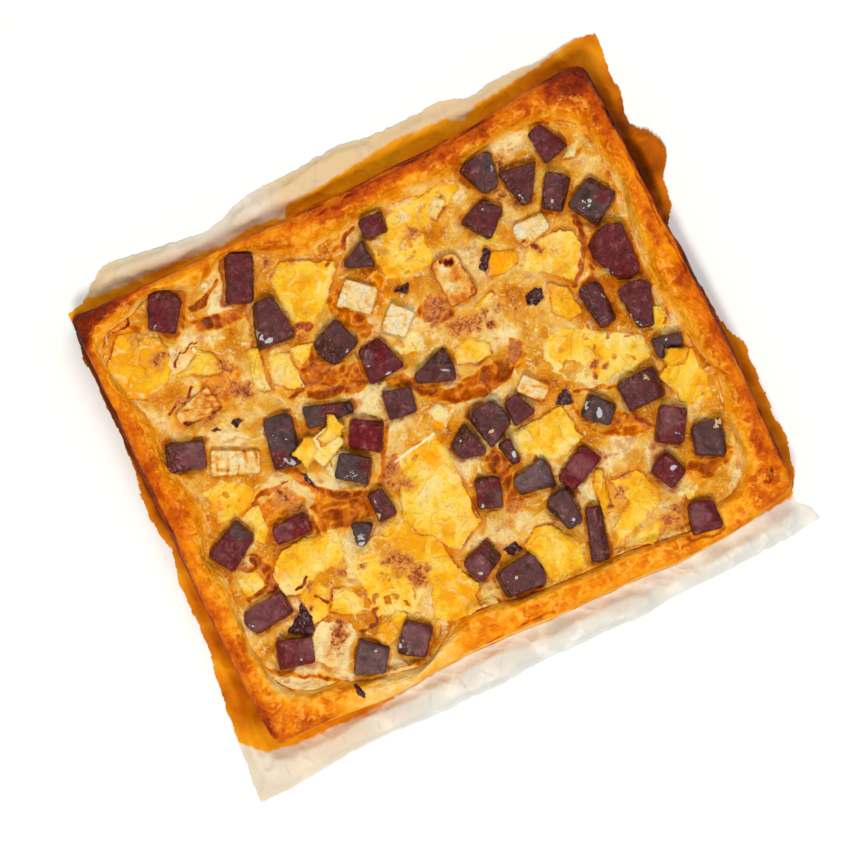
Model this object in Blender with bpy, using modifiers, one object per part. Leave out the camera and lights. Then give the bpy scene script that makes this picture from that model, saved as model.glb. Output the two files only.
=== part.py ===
"""A rectangular puff pastry tart, baked on its sheet of paper and topped with melted cheese, onion,
diced beetroot and pieces of goat cheese.

Run with: blender --background --python part.py

Sizes here are millimetres in the tart's own frame: +X along the long side, +Y along the short side
and +Z up from the table. The finished objects are in metres. The tart stands a little off the
middle of its paper, so the empty named tart carries everything and puts the paper's middle at the
origin.
"""

import math
import random

import bmesh
import bpy
from mathutils import Vector, noise
from mathutils.geometry import convex_hull_2d, delaunay_2d_cdt

MM = 0.001

# Heights above the table
PAPER_THICKNESS = 0.5
GAP = 0.3
PASTRY_BASE = PAPER_THICKNESS + GAP
PASTRY_FLOOR = 5.5
FILLING_BASE = PASTRY_FLOOR + GAP
FILLING_EDGE = 12.0
FILLING_MIDDLE = 13.0
RIM_HEIGHT = 22.0
TOPPING_BASE = 8.0
BEETROOT_TOPS = (18.5, 22.0)

# The tart's sides, as distances from its middle at equal steps from corner to corner, each side
# read in the +X or +Y direction.
CRUST_BOTTOM = (120, 121, 124, 122.5, 123.5, 125.5, 126.5, 128.5, 126.5, 121)
CRUST_RIGHT = (146, 146.5, 148, 148, 146.5, 146, 145)
CRUST_TOP = (120.5, 119, 118, 117.5, 116.5, 116, 115.8, 116.5, 120, 121)
CRUST_LEFT = (149, 150, 150, 149, 148, 146.5, 145)
CRUST_CORNERS = (6, 9, 8, 5)

# The inner edge of the rim, where the filling starts
WELL_BOTTOM = (103, 101, 109, 113.5, 116, 104.5, 104, 108.5, 110, 111.5, 111, 114, 116, 108, 102)
WELL_RIGHT = (127, 128.5, 130.5, 134.5, 131.5, 129, 127.5, 126.5, 128.5, 133, 131.5, 130, 124)
WELL_TOP = (106, 107.5, 112.5, 105, 113.5, 106, 97, 97.5, 100.5, 98.5, 98, 101, 103.5, 102.5, 100)
WELL_LEFT = (133, 133, 137.5, 135, 133, 136, 127.5, 129.5, 133.5, 131, 136, 139, 136)
WELL_CORNERS = (28, 24, 22, 14)

# The torn sheet of baking paper
PAPER_BOTTOM = (142, 142.5, 140.5, 139.5, 140, 142, 142, 142.5, 141.5, 142.3, 143, 144, 142.5, 143,
                142.3, 142, 140.5)
PAPER_RIGHT = (150, 147, 141.5, 148, 150, 152, 153.5, 151.5, 153.5, 153.5, 154.5, 154, 156, 152, 150,
               149.5, 149, 148.5, 147.5, 147, 147, 148, 153.5, 155, 157, 163, 163.5, 160, 153, 154.5,
               156.5, 155, 156.5, 157.5, 158)
PAPER_TOP = (123.5, 127, 136.5, 136, 134, 132, 130.3, 129.8, 133.5, 136.3, 137, 136.5, 137, 138, 136.3,
             135, 134.5, 135, 135.5, 130, 132, 132.5, 131, 131.5, 133, 131)
PAPER_LEFT = (169, 168, 166.5, 165, 164, 162, 160, 157.5, 157.5, 156.5, 156, 153, 154, 155, 153.5, 151,
              149.5, 149, 149, 148.5, 149, 146.5, 145.5)
PAPER_CORNERS = (1, 1, 1, 1)
PAPER_FLAT_MARGIN = 7.0
PAPER_LIFT = 4.5
PAPER_LIFT_REACH = 12.0
PAPER_WAVE = 34.0
PAPER_MIDDLE = (-2.5, -3.0)

SIDE_STEPS_LONG = 28
SIDE_STEPS_SHORT = 24
CORNER_STEPS = 4

# How the rim is made, from the paper up and over to the filling: share of the way from the crust's
# edge to the well's edge, reach beyond the crust's edge, and share of the rim's height.
RIM_PROFILE = (
    (0.00, -0.2, 0.00),
    (0.00, 0.8, 0.09),
    (0.00, -0.7, 0.15),
    (0.00, 0.3, 0.26),
    (0.00, -1.2, 0.33),
    (0.00, -0.4, 0.46),
    (0.00, -1.6, 0.52),
    (0.00, -1.0, 0.68),
    (0.11, 0.0, 0.86),
    (0.30, 0.0, 1.00),
    (0.56, 0.0, 0.98),
    (0.80, 0.0, 0.74),
)
RIM_RIPPLE = 0.9
RIM_FULL_WIDTH = 13.0

# The tops of the cut pieces: the middle of one end, the middle of the other end, the width of each
# end, how far the first end bulges where it is the beetroot's round outside, and how far the piece's
# side shows beyond its top in X and Y, because the piece leans.
BEETROOT = (
    (111.5, 83.5, 106.5, 101.0, 13, 7, 0, 2, 0.5),
    (73.5, 99.5, 75, 83, 18, 8, 1.5, -1.5, 0),
    (90.5, 87, 87, 69, 19, 5, 0, 1, 0.3),
    (108.5, 75, 97.5, 61, 12, 11.5, 0, 0, -0.9),
    (110.5, 51.5, 126, 60, 18.5, 16.5, 0, -0.8, -1),
    (117.5, 37, 121.5, 12.5, 18, 6, 4, -3.5, -1),
    (58.5, 67, 72.5, 76.5, 16, 11.5, 0, -1.5, 0.8),
    (7, 94.5, 19, 93.5, 9, 11, 0, 1.2, -0.3),
    (95, 17, 97, -4, 11, 9, 1.5, 2.5, 0),
    (117, 7, 113.5, -14, 17, 8, 2.5, 0.5, -0.5),
    (-54, 110.5, -63.5, 89, 13, 12, 1, -2, 0),
    (-97, 108.5, -106.5, 93.5, 17, 14, 2.5, 0, -0.3),
    (-56, 62.5, -53, 85, 18.5, 10, 0, -3, -0.5),
    (-38, 46, -22.5, 52, 16.5, 16.4, 2, 0, 0),
    (-14, 22.5, -16.3, 41.2, 19, 12, 0, -0.3, 0),
    (16.5, 14, -2, 15, 18, 4, 1, 0, -0.8),
    (112.5, -26, 127, -27, 11, 6, 0, 0, 0),
    (87.5, -41, 107.5, -40.5, 15, 15.5, 0, 0, -0.5),
    (68, -35.5, 78, -46, 12.5, 11, 0, 0.8, -0.3),
    (38, -28.5, 36, -15.5, 12.5, 7, 0, 0, 0),
    (28.5, -19.5, 14.2, -23.3, 15, 20.5, 0.8, 0, -0.5),
    (-0.5, -28, 11, -25.6, 9, 19, 0, -0.8, 0.5),
    (22.5, -33.5, 24, -46.5, 7, 4, 0, 0, 0),
    (-22, 9, -7.5, 6.5, 14.5, 13.5, 0, 0, -0.5),
    (-61.5, 22, -37, 17, 12.5, 6, 0, 0, 0),
    (-74.5, 28, -80.5, 4, 15, 13.5, 2, 1.2, -0.3),
    (-44.5, 5.5, -31.5, -3.5, 13, 15.5, 0, 0.8, -0.5),
    (-57.5, -6.5, -44, -16, 13, 13, 0, 0.8, -0.5),
    (-133, 34.5, -114.5, 28.5, 13.5, 13.5, 0, 0, 0.8),
    (108, -56.5, 98.5, -71.5, 13, 13.5, 0, -1.5, -0.3),
    (88, -78.5, 93.5, -90.5, 12, 11.5, 1, 1.2, 0.8),
    (109.8, -75.8, 124, -80.5, 15, 19, 0, -1, -1),
    (98.5, -105.2, 95.2, -120, 12.5, 15.5, 0, -1.5, -1),
    (60.5, -58, 41.5, -66.8, 12.5, 10.5, 0, 1, 0.3),
    (36.5, -56, 18.5, -56, 13, 7, 1, 0.5, -2.5),
    (7.5, -46, 2.2, -60.3, 11.5, 12, 0, 0, -0.5),
    (34, -71.5, 37.5, -87.5, 13.5, 7.5, 2, 0.2, 0.5),
    (48.6, -83.5, 40.5, -109.5, 8, 8.5, 0, -0.1, -0.3),
    (-20.5, -86.5, -6, -80.5, 13, 11, 0, 1.2, 1.2),
    (10.5, -98, -9, -98.5, 18, 13, 1, -1.8, -0.5),
    (-46, -27, -45.5, -42, 7.5, 9, 0, -1, 0),
    (-59.5, -38.5, -65, -48.5, 12, 3.5, 0, 0.6, 0.2),
    (-102, -24.5, -83, -25.5, 9, 10.5, 0, 0, 0),
    (-132.5, -25, -113.5, -14.5, 15.5, 12, 0, 0.8, 1.2),
    (-132, -58, -111.5, -56, 12, 12, 3, 1, -1.8),
    (5, 82.3, -8.5, 82, 14.5, 3, 0, 0, 0),
    (-126.5, -79, -110, -84.5, 14.5, 13, 0, -1.2, -0.3),
    (-92, -98, -79.2, -106.5, 16.5, 12, 0, 0.5, 0.8),
    (-67.5, -98.5, -56.3, -107.7, 16.5, 16.5, 0, 1, 0.3),
)

# Goat cheese cut from a log, the same way and upright, with the height of its top
GOAT_CHEESE = (
    (-16.5, 71, -3.5, 58.5, 14.5, 14.5, 0, 16.5),
    (-1.5, 50, 7.5, 40.2, 15, 13.5, 0, 18.0),
    (37, 62, 38, 39, 14, 15, 2, 18.0),
    (77, 55.5, 92.6, 57, 13, 9, 2, 16.5),
    (-114.5, 22.5, -91, 12.5, 13.5, 11, 0, 16.5),
    (43.5, -10.5, 53, -22, 9.5, 9.5, 0, 17.0),
    (-118, 49.5, -97, 52, 9, 14, 1, 16.5),
    (-66.6, 2, -50.2, 8, 15, 11, 0, 17.5),
)

# Melted cheese slices and small toppings that are one with the filling, with their thickness
MELTED_SLICES = (
    (-125, 70, -125, 98, 26, 24, 3, 1.6),
    (-107, 68, -88, 70, 12, 13, 0, 3.0),
    (-73.5, 67.5, -72.5, 43, 9.5, 8, 0, 2.4),
    (-61.5, 60, -56.5, 38.5, 13, 13.5, 0, 2.0),
    (-30, 92, -34, 64, 34, 20, 2, 1.8),
    (-114, 12, -112, -5, 20, 18, 2, 1.5),
    (-18, -2, -19, -14, 22, 27, 0, 2.6),
    (-18, -16, -16, -68, 26, 24, 2, 2.2),
    (-108, -43, -72, -42, 22, 19, 2, 2.0),
    (-38, -52, -30, -100, 26, 22, 0, 2.2),
    (-84, -62, -80, -78, 14, 17, 0, 2.8),
    (-101, -77, -100, -98, 18, 10, 3, 2.0),
    (-66, -62, -66, -86, 26, 20, 2, 1.2),
    (20, 85, 20, 71, 32, 30, 3, 1.4),
    (24, 22, 36, 10, 14, 8, 1, 1.8),
    (-29, 23, -27, 9, 12, 10, 1, 1.6),
    (88, 48, 88, 24, 28, 16, 3, 1.6),
    (62, 53, 64, 42, 14, 16, 0, 2.4),
    (83, 24, 82, 7, 13, 14, 1, 2.4),
    (80, -4, 92, -22, 30, 26, 3, 1.4),
    (30, -36, 56, -40, 13, 18, 1, 2.0),
    (12, -88, 34, -104, 15, 14, 1, 2.4),
    (122, -32, 120, -63, 18, 15, 0, 2.4),
    (58, -70, 55, -90, 8, 7, 0, 3.0),
    (68, -82, 68, -100, 22, 26, 1, 1.8),
    (44, 84, 46, 94, 8, 8, 0, 4.5),
    (2, -4, 0, -16, 9, 5, 1, 3.5),
    (-105.5, -68.2, -115.5, -69, 8, 3, 0, 4.0),
    (58, 57.5, 52.5, 48.5, 4, 5, 0, 4.0),
    (12.5, 59.5, 13, 55, 8, 3, 0, 3.0),
    (66, 24, 74, 26, 7, 7, 0, 3.5),
    (62.5, -27, 56, -29, 9, 3, 0, 3.5),
)
SLICE_SPACING = 6.8
SLICE_SHOULDER = 1.3
FILLING_SPACING = 7.8
FILLING_LUMP = 1.1

EDGE_BEVEL = 1.1
CORNER_SCATTER = 0.5
FOOT_SPREAD = 0.5
TOP_TILT = 0.09


# Helpers for outlines and smooth change
def ease(share):
    """Smooth step from 0 to 1."""
    share = min(1.0, max(0.0, share))
    return share * share * (3 - 2 * share)


def read_along(values, share):
    """A smooth curve through equally spaced values, read at a share of the way along."""
    place = min(1.0, max(0.0, share)) * (len(values) - 1)
    first = min(int(place), len(values) - 2)
    t = place - first
    before, start = values[max(first - 1, 0)], values[first]
    end, after = values[first + 1], values[min(first + 2, len(values) - 1)]
    leaving, arriving = (end - before) / 2, (after - start) / 2
    rise = end - start
    return start + t * (leaving + t * (3 * rise - 2 * leaving - arriving + t * (leaving + arriving - 2 * rise)))


def bend(start, corner, end, steps):
    """Points of a quarter bend, without its two ends."""
    shares = [(step + 1) / (steps + 1) for step in range(steps)]
    return [start * (1 - t) ** 2 + corner * 2 * t * (1 - t) + end * t**2 for t in shares]


def outline(bottom, right, top, left, corners, steps_long=SIDE_STEPS_LONG, steps_short=SIDE_STEPS_SHORT):
    """A closed outline, anticlockwise from the lower left corner, through four uneven sides."""
    lower_left, lower_right = Vector((-left[0], -bottom[0])), Vector((right[0], -bottom[-1]))
    upper_right, upper_left = Vector((right[-1], top[-1])), Vector((-left[-1], top[0]))
    shares_long = [step / steps_long for step in range(steps_long + 1)]
    shares_short = [step / steps_short for step in range(steps_short + 1)]

    def level(start, end, cut_start, cut_end, side, sign):
        points = []
        for share in shares_long:
            x = (start.x + cut_start) * (1 - share) + (end.x - cut_end) * share
            points.append(Vector((x, sign * read_along(side, (x - start.x) / (end.x - start.x)))))
        return points

    def upright(start, end, cut_start, cut_end, side, sign):
        points = []
        for share in shares_short:
            y = (start.y + cut_start) * (1 - share) + (end.y - cut_end) * share
            points.append(Vector((sign * read_along(side, (y - start.y) / (end.y - start.y)), y)))
        return points

    sides = (
        level(lower_left, lower_right, corners[0], corners[1], bottom, -1),
        upright(lower_right, upper_right, corners[1], corners[2], right, 1),
        level(upper_left, upper_right, corners[3], corners[2], top, 1)[::-1],
        upright(lower_left, upper_left, corners[0], corners[3], left, -1)[::-1],
    )
    points = []
    for index, side in enumerate(sides):
        following = sides[(index + 1) % 4]
        if index % 2:
            corner = Vector((side[-1].x, following[0].y))
        else:
            corner = Vector((following[0].x, side[-1].y))
        points += side + bend(side[-1], corner, following[0], CORNER_STEPS)
    return points


def shifted(points, distance):
    """The outline moved outwards by a distance, or inwards where it is negative, with mitred corners."""
    moved = []
    for index, point in enumerate(points):
        arriving = (point - points[index - 1]).normalized()
        leaving = (points[(index + 1) % len(points)] - point).normalized()
        out = Vector((arriving.y + leaving.y, -arriving.x - leaving.x)) / (1 + max(arriving.dot(leaving), -0.6))
        moved.append(point + out * distance)
    return moved


def cut_outline(start, end, start_width, end_width, bulge):
    """The outline of a cut piece seen from above, anticlockwise."""
    along = (end - start).normalized()
    across = Vector((-along.y, along.x))
    points = [start + across * start_width / 2]
    if bulge:
        points += [start + across * start_width * share - along * bulge for share in (0.22, -0.22)]
    points.append(start - across * start_width / 2)
    return points + [end - across * end_width / 2, end + across * end_width / 2]


def nearest_on(points, place):
    """How far outside a closed outline a place lies, negative inside, and the nearest point on it."""
    inside, nearest, best = False, points[0], math.inf
    for index, end in enumerate(points):
        start = points[index - 1]
        run = end - start
        share = min(1.0, max(0.0, (place - start).dot(run) / run.length_squared))
        touch = start + run * share
        if (place - touch).length < best:
            nearest, best = touch, (place - touch).length
        if (start.y > place.y) != (end.y > place.y):
            if place.x < start.x + run.x * (place.y - start.y) / run.y:
                inside = not inside
    return (-best if inside else best), nearest


# Helpers for Blender objects
def material(name, colour, roughness):
    made = bpy.data.materials.new(name)
    made.use_nodes = True
    shader = made.node_tree.nodes["Principled BSDF"]
    shader.inputs["Base Color"].default_value = (*colour, 1)
    shader.inputs["Roughness"].default_value = roughness
    shader.inputs["Metallic"].default_value = 0.0
    return made


def to_object(name, bm, collection, carrier, finish=None):
    """Makes the object from a mesh drawn in millimetres."""
    bmesh.ops.scale(bm, vec=(MM, MM, MM), verts=bm.verts)
    bmesh.ops.recalc_face_normals(bm, faces=bm.faces)
    mesh = bpy.data.meshes.new(name)
    bm.to_mesh(mesh)
    bm.free()
    made = bpy.data.objects.new(name, mesh)
    collection.objects.link(made)
    made.parent = carrier
    if finish:
        mesh.materials.append(finish)
    return made


def draped_sheet(edge, inside, height, ties=()):
    """An open triangulated surface inside an edge, through more points inside, at height(place)."""
    places = list(edge) + list(inside)
    flat, _, faces, *_ = delaunay_2d_cdt(places, list(ties), [list(range(len(edge)))], 1, 0.01)
    bm = bmesh.new()
    corners = [bm.verts.new((place.x, place.y, height(place))) for place in flat]
    for face in faces:
        bm.faces.new([corners[index] for index in face])
    return bm


def prism(foot, top, low, high, tilt=(0.0, 0.0)):
    """A closed body from its foot's outline up to its top's outline, which slopes a little."""
    middle = sum(top, Vector((0, 0))) / len(top)
    bm = bmesh.new()
    base = bm.faces.new([bm.verts.new((point.x, point.y, low)) for point in foot])
    raised = bmesh.ops.extrude_face_region(bm, geom=[base])["geom"]
    for vertex in (part for part in raised if isinstance(part, bmesh.types.BMVert)):
        point = min(zip(foot, top), key=lambda pair: (pair[0] - vertex.co.xy).length)[1]
        away = point - middle
        vertex.co = (point.x, point.y, high + away.x * tilt[0] + away.y * tilt[1])
    return bm


def cut_away(piece, cutters):
    """Removes every cutter from the piece."""
    cut = piece.modifiers.new("pockets", "BOOLEAN")
    cut.operation = "DIFFERENCE"
    cut.operand_type = "COLLECTION"
    cut.collection = cutters
    cut.solver = "EXACT"


# The parts of the tart
def baking_paper(crust):
    """The thin sheet: flat under the tart, lifted in waves towards its torn edges."""
    edge = outline(PAPER_BOTTOM, PAPER_RIGHT, PAPER_TOP, PAPER_LEFT, PAPER_CORNERS, 34, 44)
    flat_edge = shifted(crust, PAPER_FLAT_MARGIN)
    waves = [point for step in (0.0, 4.0, 8.0) for point in shifted(flat_edge, step)[::2]]
    inside = [point for point in waves if nearest_on(edge, point)[0] < -2.0]

    def height(place):
        reach = nearest_on(crust, place)[0] - PAPER_FLAT_MARGIN
        wave = noise.noise(Vector((place.x / PAPER_WAVE, place.y / PAPER_WAVE, 4.0)))
        return PAPER_LIFT * ease(reach / PAPER_LIFT_REACH) * (0.55 + 0.9 * wave)

    bm = draped_sheet(edge, inside, lambda place: max(0.0, height(place)))
    raised = bmesh.ops.extrude_face_region(bm, geom=list(bm.faces))["geom"]
    upper = [part for part in raised if isinstance(part, bmesh.types.BMVert)]
    bmesh.ops.translate(bm, vec=(0, 0, PAPER_THICKNESS), verts=upper)
    return bm


def pastry_case(crust, well):
    """The base and its puffed rim, lofted ring by ring, with the leaves of the pastry at its sides."""
    bm = bmesh.new()
    rings = []
    for share, reach, rise in RIM_PROFILE + ((1.0, 0.0, None), (1.0, 0.0, 0.0)):
        ring = []
        for index, (outer, inner) in enumerate(zip(crust, well)):
            width = (outer - inner).length
            away = (outer - inner).normalized()
            puff = FILLING_EDGE + (RIM_HEIGHT - FILLING_EDGE) * (0.35 + 0.65 * ease(width / RIM_FULL_WIDTH))
            ripple = noise.noise(Vector((outer.x / 17, outer.y / 17, len(rings) * 0.7)))
            place = outer.lerp(inner, share) + away * (reach * (1 + 0.6 * ripple))
            if share == 1.0:
                height = FILLING_EDGE if rise is None else PASTRY_FLOOR
            else:
                height = PASTRY_BASE + rise * (puff - PASTRY_BASE) + (RIM_RIPPLE * ripple if rise > 0 else 0)
            ring.append(bm.verts.new((place.x, place.y, height)))
        rings.append(ring)
    for lower, upper in zip(rings, rings[1:]):
        for index in range(len(lower)):
            bm.faces.new((lower[index - 1], lower[index], upper[index], upper[index - 1]))
    bm.faces.new(rings[0])
    bm.faces.new(rings[-1])
    return bm


def cheese_filling(well):
    """The melted cheese and onion that fill the well, with the slices that keep their shape."""
    edge = shifted(well, -GAP)
    slices = [
        (cut_outline(Vector(row[0:2]), Vector(row[2:4]), row[4], row[5], row[6]), row[7])
        for row in MELTED_SLICES
    ]

    def height(place):
        inset = -nearest_on(edge, place)[0]
        lump = noise.noise(Vector((place.x / 16, place.y / 16, 1.5)))
        level = FILLING_EDGE + (FILLING_MIDDLE - FILLING_EDGE) * ease(inset / 12) + FILLING_LUMP * lump
        raised = max(
            thickness * ease(0.5 - nearest_on(points, place)[0] / SLICE_SHOULDER)
            for points, thickness in slices
        )
        return level + raised * ease(inset / 3)

    inside, ties = [], []
    for points, _ in slices:
        for step in (-SLICE_SHOULDER / 2, SLICE_SHOULDER / 2):
            ring = shifted(points, step)
            for index, end in enumerate(ring):
                start = ring[index - 1]
                count = max(1, round((end - start).length / SLICE_SPACING))
                inside += [start.lerp(end, share / count) for share in range(count)]
    x_steps, y_steps = int(150 / FILLING_SPACING), int(130 / FILLING_SPACING)
    for row in range(-y_steps, y_steps + 1):
        for column in range(-x_steps, x_steps + 1):
            x = (column + (row % 2) / 2) * FILLING_SPACING
            inside.append(Vector((x, row * FILLING_SPACING * math.sqrt(0.75))))
    kept = []
    for place in inside:
        near = any((place - other).length < 1.1 for other in kept)
        if not near and nearest_on(edge, place)[0] < -2.5:
            kept.append(place)
    bm = draped_sheet(edge, kept, height, ties)
    border = [e for e in bm.edges if e.is_boundary]
    walls = bmesh.ops.extrude_edge_only(bm, edges=border)["geom"]
    foot = [part for part in walls if isinstance(part, bmesh.types.BMVert)]
    for vertex in foot:
        vertex.co.z = FILLING_BASE
    bmesh.ops.holes_fill(bm, edges=[e for e in bm.edges if e.is_boundary], sides=0)
    return bm


def cut_piece(row, top_height, rng):
    """One diced topping as (its foot's outline, its top's outline, its mesh), uneven as a knife leaves it."""
    plain = cut_outline(Vector(row[0:2]), Vector(row[2:4]), row[4], row[5], row[6])
    top = [
        point + Vector((rng.uniform(-1, 1), rng.uniform(-1, 1))) * CORNER_SCATTER for point in plain
    ]
    tilt = (rng.uniform(-TOP_TILT, TOP_TILT), rng.uniform(-TOP_TILT, TOP_TILT))
    sunk_share = (top_height - TOPPING_BASE) / (top_height - FILLING_EDGE)
    lean = Vector(row[7:9]) * sunk_share
    foot = [point + lean for point in shifted(top, FOOT_SPREAD)]
    return foot, top, prism(foot, top, TOPPING_BASE, top_height, tilt)


def bevel_upper_edges(piece):
    """Rounds the edges that show; the sunk bottom stays square."""
    for edge in piece.data.edges:
        ends = [piece.data.vertices[index].co.z for index in edge.vertices]
        edge.use_edge_sharp = False
        if max(ends) > (TOPPING_BASE + 1) * MM:
            weight = piece.data.attributes.get("bevel_weight_edge") or piece.data.attributes.new(
                "bevel_weight_edge", "FLOAT", "EDGE"
            )
            weight.data[edge.index].value = 1.0
    bevel = piece.modifiers.new("worn edges", "BEVEL")
    bevel.width = EDGE_BEVEL * MM
    bevel.segments = 1
    bevel.limit_method = "WEIGHT"


def toppings(collection, cutters, carrier):
    """The beetroot dice and the goat cheese, each with a cutter that makes room for it."""
    rng = random.Random(7)
    beetroot = material("cooked beetroot", (0.075, 0.013, 0.018), 0.35)
    goat = material("goat cheese", (0.84, 0.66, 0.33), 0.6)
    pieces = [
        (f"beetroot_{number:02d}", row, rng.uniform(*BEETROOT_TOPS), beetroot)
        for number, row in enumerate(BEETROOT, 1)
    ]
    pieces += [
        (f"goat_cheese_{number}", (*row[:7], 0, 0), row[7], goat) for number, row in enumerate(GOAT_CHEESE, 1)
    ]
    for name, row, top_height, finish in pieces:
        foot, top, bm = cut_piece(row, top_height, rng)
        bevel_upper_edges(to_object(name, bm, collection, carrier, finish))
        both = foot + top
        around = [both[index] for index in convex_hull_2d(both)]
        room = shifted(around, GAP)
        pocket = to_object(
            f"pocket {name}", prism(room, room, TOPPING_BASE - GAP, RIM_HEIGHT + 10), cutters, carrier
        )
        pocket.hide_render = True
        pocket.display_type = "WIRE"


def main():
    for old in list(bpy.data.objects):
        bpy.data.objects.remove(old)
    tart = bpy.data.collections.new("beetroot and goat cheese tart")
    cutters = bpy.data.collections.new("cutters")
    for collection in (tart, cutters):
        bpy.context.scene.collection.children.link(collection)
    carrier = bpy.data.objects.new("tart", None)
    carrier.location = (-PAPER_MIDDLE[0] * MM, -PAPER_MIDDLE[1] * MM, 0)
    tart.objects.link(carrier)

    crust = outline(CRUST_BOTTOM, CRUST_RIGHT, CRUST_TOP, CRUST_LEFT, CRUST_CORNERS)
    well = outline(WELL_BOTTOM, WELL_RIGHT, WELL_TOP, WELL_LEFT, WELL_CORNERS)
    toppings(tart, cutters, carrier)
    paper = material("baking paper", (0.78, 0.62, 0.38), 0.6)
    to_object("baking_paper", baking_paper(crust), tart, carrier, paper)
    crisp = material("baked puff pastry", (0.72, 0.28, 0.03), 0.45)
    cut_away(to_object("pastry_case", pastry_case(crust, well), tart, carrier, crisp), cutters)
    melted = material("melted cheese", (0.85, 0.50, 0.10), 0.4)
    cut_away(to_object("cheese_filling", cheese_filling(well), tart, carrier, melted), cutters)


main()
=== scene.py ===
# %% [markdown]
# # A beetroot and goat cheese tart
#
# The solids of the tart are already made and packed. They give each piece its place and its main
# form. This lesson dresses them: crinkled baking paper, flaky pastry, browned cheese and wet
# beetroot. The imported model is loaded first, because everything else is measured from it.

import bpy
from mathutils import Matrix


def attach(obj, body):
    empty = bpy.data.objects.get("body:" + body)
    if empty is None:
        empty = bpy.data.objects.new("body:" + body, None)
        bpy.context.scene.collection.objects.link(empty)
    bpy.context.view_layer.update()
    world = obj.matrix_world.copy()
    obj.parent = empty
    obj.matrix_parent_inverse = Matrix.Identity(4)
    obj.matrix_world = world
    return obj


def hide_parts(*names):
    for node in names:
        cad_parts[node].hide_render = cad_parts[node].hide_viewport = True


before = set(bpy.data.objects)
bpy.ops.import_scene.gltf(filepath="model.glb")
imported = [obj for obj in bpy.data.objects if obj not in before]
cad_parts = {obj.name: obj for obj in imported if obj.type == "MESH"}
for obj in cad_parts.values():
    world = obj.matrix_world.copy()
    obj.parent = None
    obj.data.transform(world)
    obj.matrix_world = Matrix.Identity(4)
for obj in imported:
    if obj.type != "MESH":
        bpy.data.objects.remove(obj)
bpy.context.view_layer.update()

# %% [markdown]
# ## Units and places
#
# A cook thinks of a tart in millimetres from the middle of its crust, so the sizes below are in
# millimetres too. The tart lies a little off the middle of its paper. One function turns these
# places into Blender's metres, and no other line has to think about it.

# %% Millimetres from the middle of the tart
import math

import bmesh
import bpy
import numpy as np
from mathutils import Vector
from mathutils.geometry import convex_hull_2d
from mathutils.kdtree import KDTree

MM = 0.001
TART_MIDDLE = np.array([2.5, 3.0, 0.0])
PASTRY_BASE = 0.8
FILLING_EDGE = 12.0
FILLING_MIDDLE = 13.0
RIM_HEIGHT = 22.0
HIGHEST = 23.2


def to_metres(places):
    """Places in the tart's millimetres as Blender's metres."""
    return (np.asarray(places, float) + TART_MIDDLE) * MM


def to_tart(places):
    """Blender's metres as the tart's millimetres."""
    return np.asarray(places, float) / MM - TART_MIDDLE


def node_places(name):
    """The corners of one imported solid, in the tart's millimetres."""
    return to_tart([corner.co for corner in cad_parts[name].data.vertices])


def shadow_outline(name):
    """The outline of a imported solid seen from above."""
    flat = [Vector(place[:2]) for place in node_places(name)]
    return np.array([flat[index] for index in convex_hull_2d(flat)])


beetroot_names = sorted(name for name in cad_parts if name.startswith("beetroot"))
goat_names = sorted(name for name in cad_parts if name.startswith("goat"))
print(len(beetroot_names), "dice of beetroot and", len(goat_names), "pieces of goat cheese")


# %% [markdown]
# ## Unevenness
#
# Nothing baked is even. Blender's own noise works one point at a time, and these meshes have
# hundreds of thousands of points, so a small lattice of random numbers is read with numpy instead.
# The patch is the size of one bump in millimetres, and each further layer is half as large and half
# as strong. The seed keeps every run the same.

# %% Noise and soft steps
LATTICE = 48


def noise(places, patch, seed, layers=2):
    """Smooth random values around 0, mostly from -1 to 1, in patches of a size in millimetres."""
    places = np.asarray(places, float)
    if places.shape[1] == 2:
        places = np.column_stack([places, np.full(len(places), 0.5)])
    values = np.random.default_rng(seed).uniform(-1, 1, (LATTICE,) * 3)
    total = np.zeros(len(places))
    for layer in range(layers):
        position = places * 2**layer / np.asarray(patch, float) + 7.3 * layer
        cell = np.floor(position).astype(int)
        share = position - cell
        share = share * share * (3 - 2 * share)
        for corner in np.ndindex(2, 2, 2):
            weight = np.prod(np.where(corner, share, 1 - share), axis=1)
            x, y, z = ((cell + corner) % LATTICE).T
            total += weight * values[x, y, z] * 0.5**layer
    return total * 1.4


def ridges(places, patch, seed, sharpness=2.6):
    """Thin wandering ridges, 1 on the ridge and 0 a little beside it."""
    return np.clip(1 - sharpness * np.abs(noise(places, patch, seed, layers=1)), 0, 1)


def smooth(low, high, values):
    """A soft step from 0 at low to 1 at high."""
    share = np.clip((values - low) / (high - low), 0, 1)
    return share * share * (3 - 2 * share)


# %% [markdown]
# ## Outlines and lines
#
# A slice of cheese, a smear or a split is drawn by a few points. Where a place lies is then told
# by its distance: from a closed outline for a slice, and from an open line for a strip of onion.
# Distances give soft edges, which plain in-or-out tests don't.

# %% Distances and smooth lines


def near(places, points, reach):
    """Which places are within reach of the box round some points."""
    points = np.asarray(points)
    return ((places > points.min(axis=0) - reach) & (places < points.max(axis=0) + reach)).all(axis=1)


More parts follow.
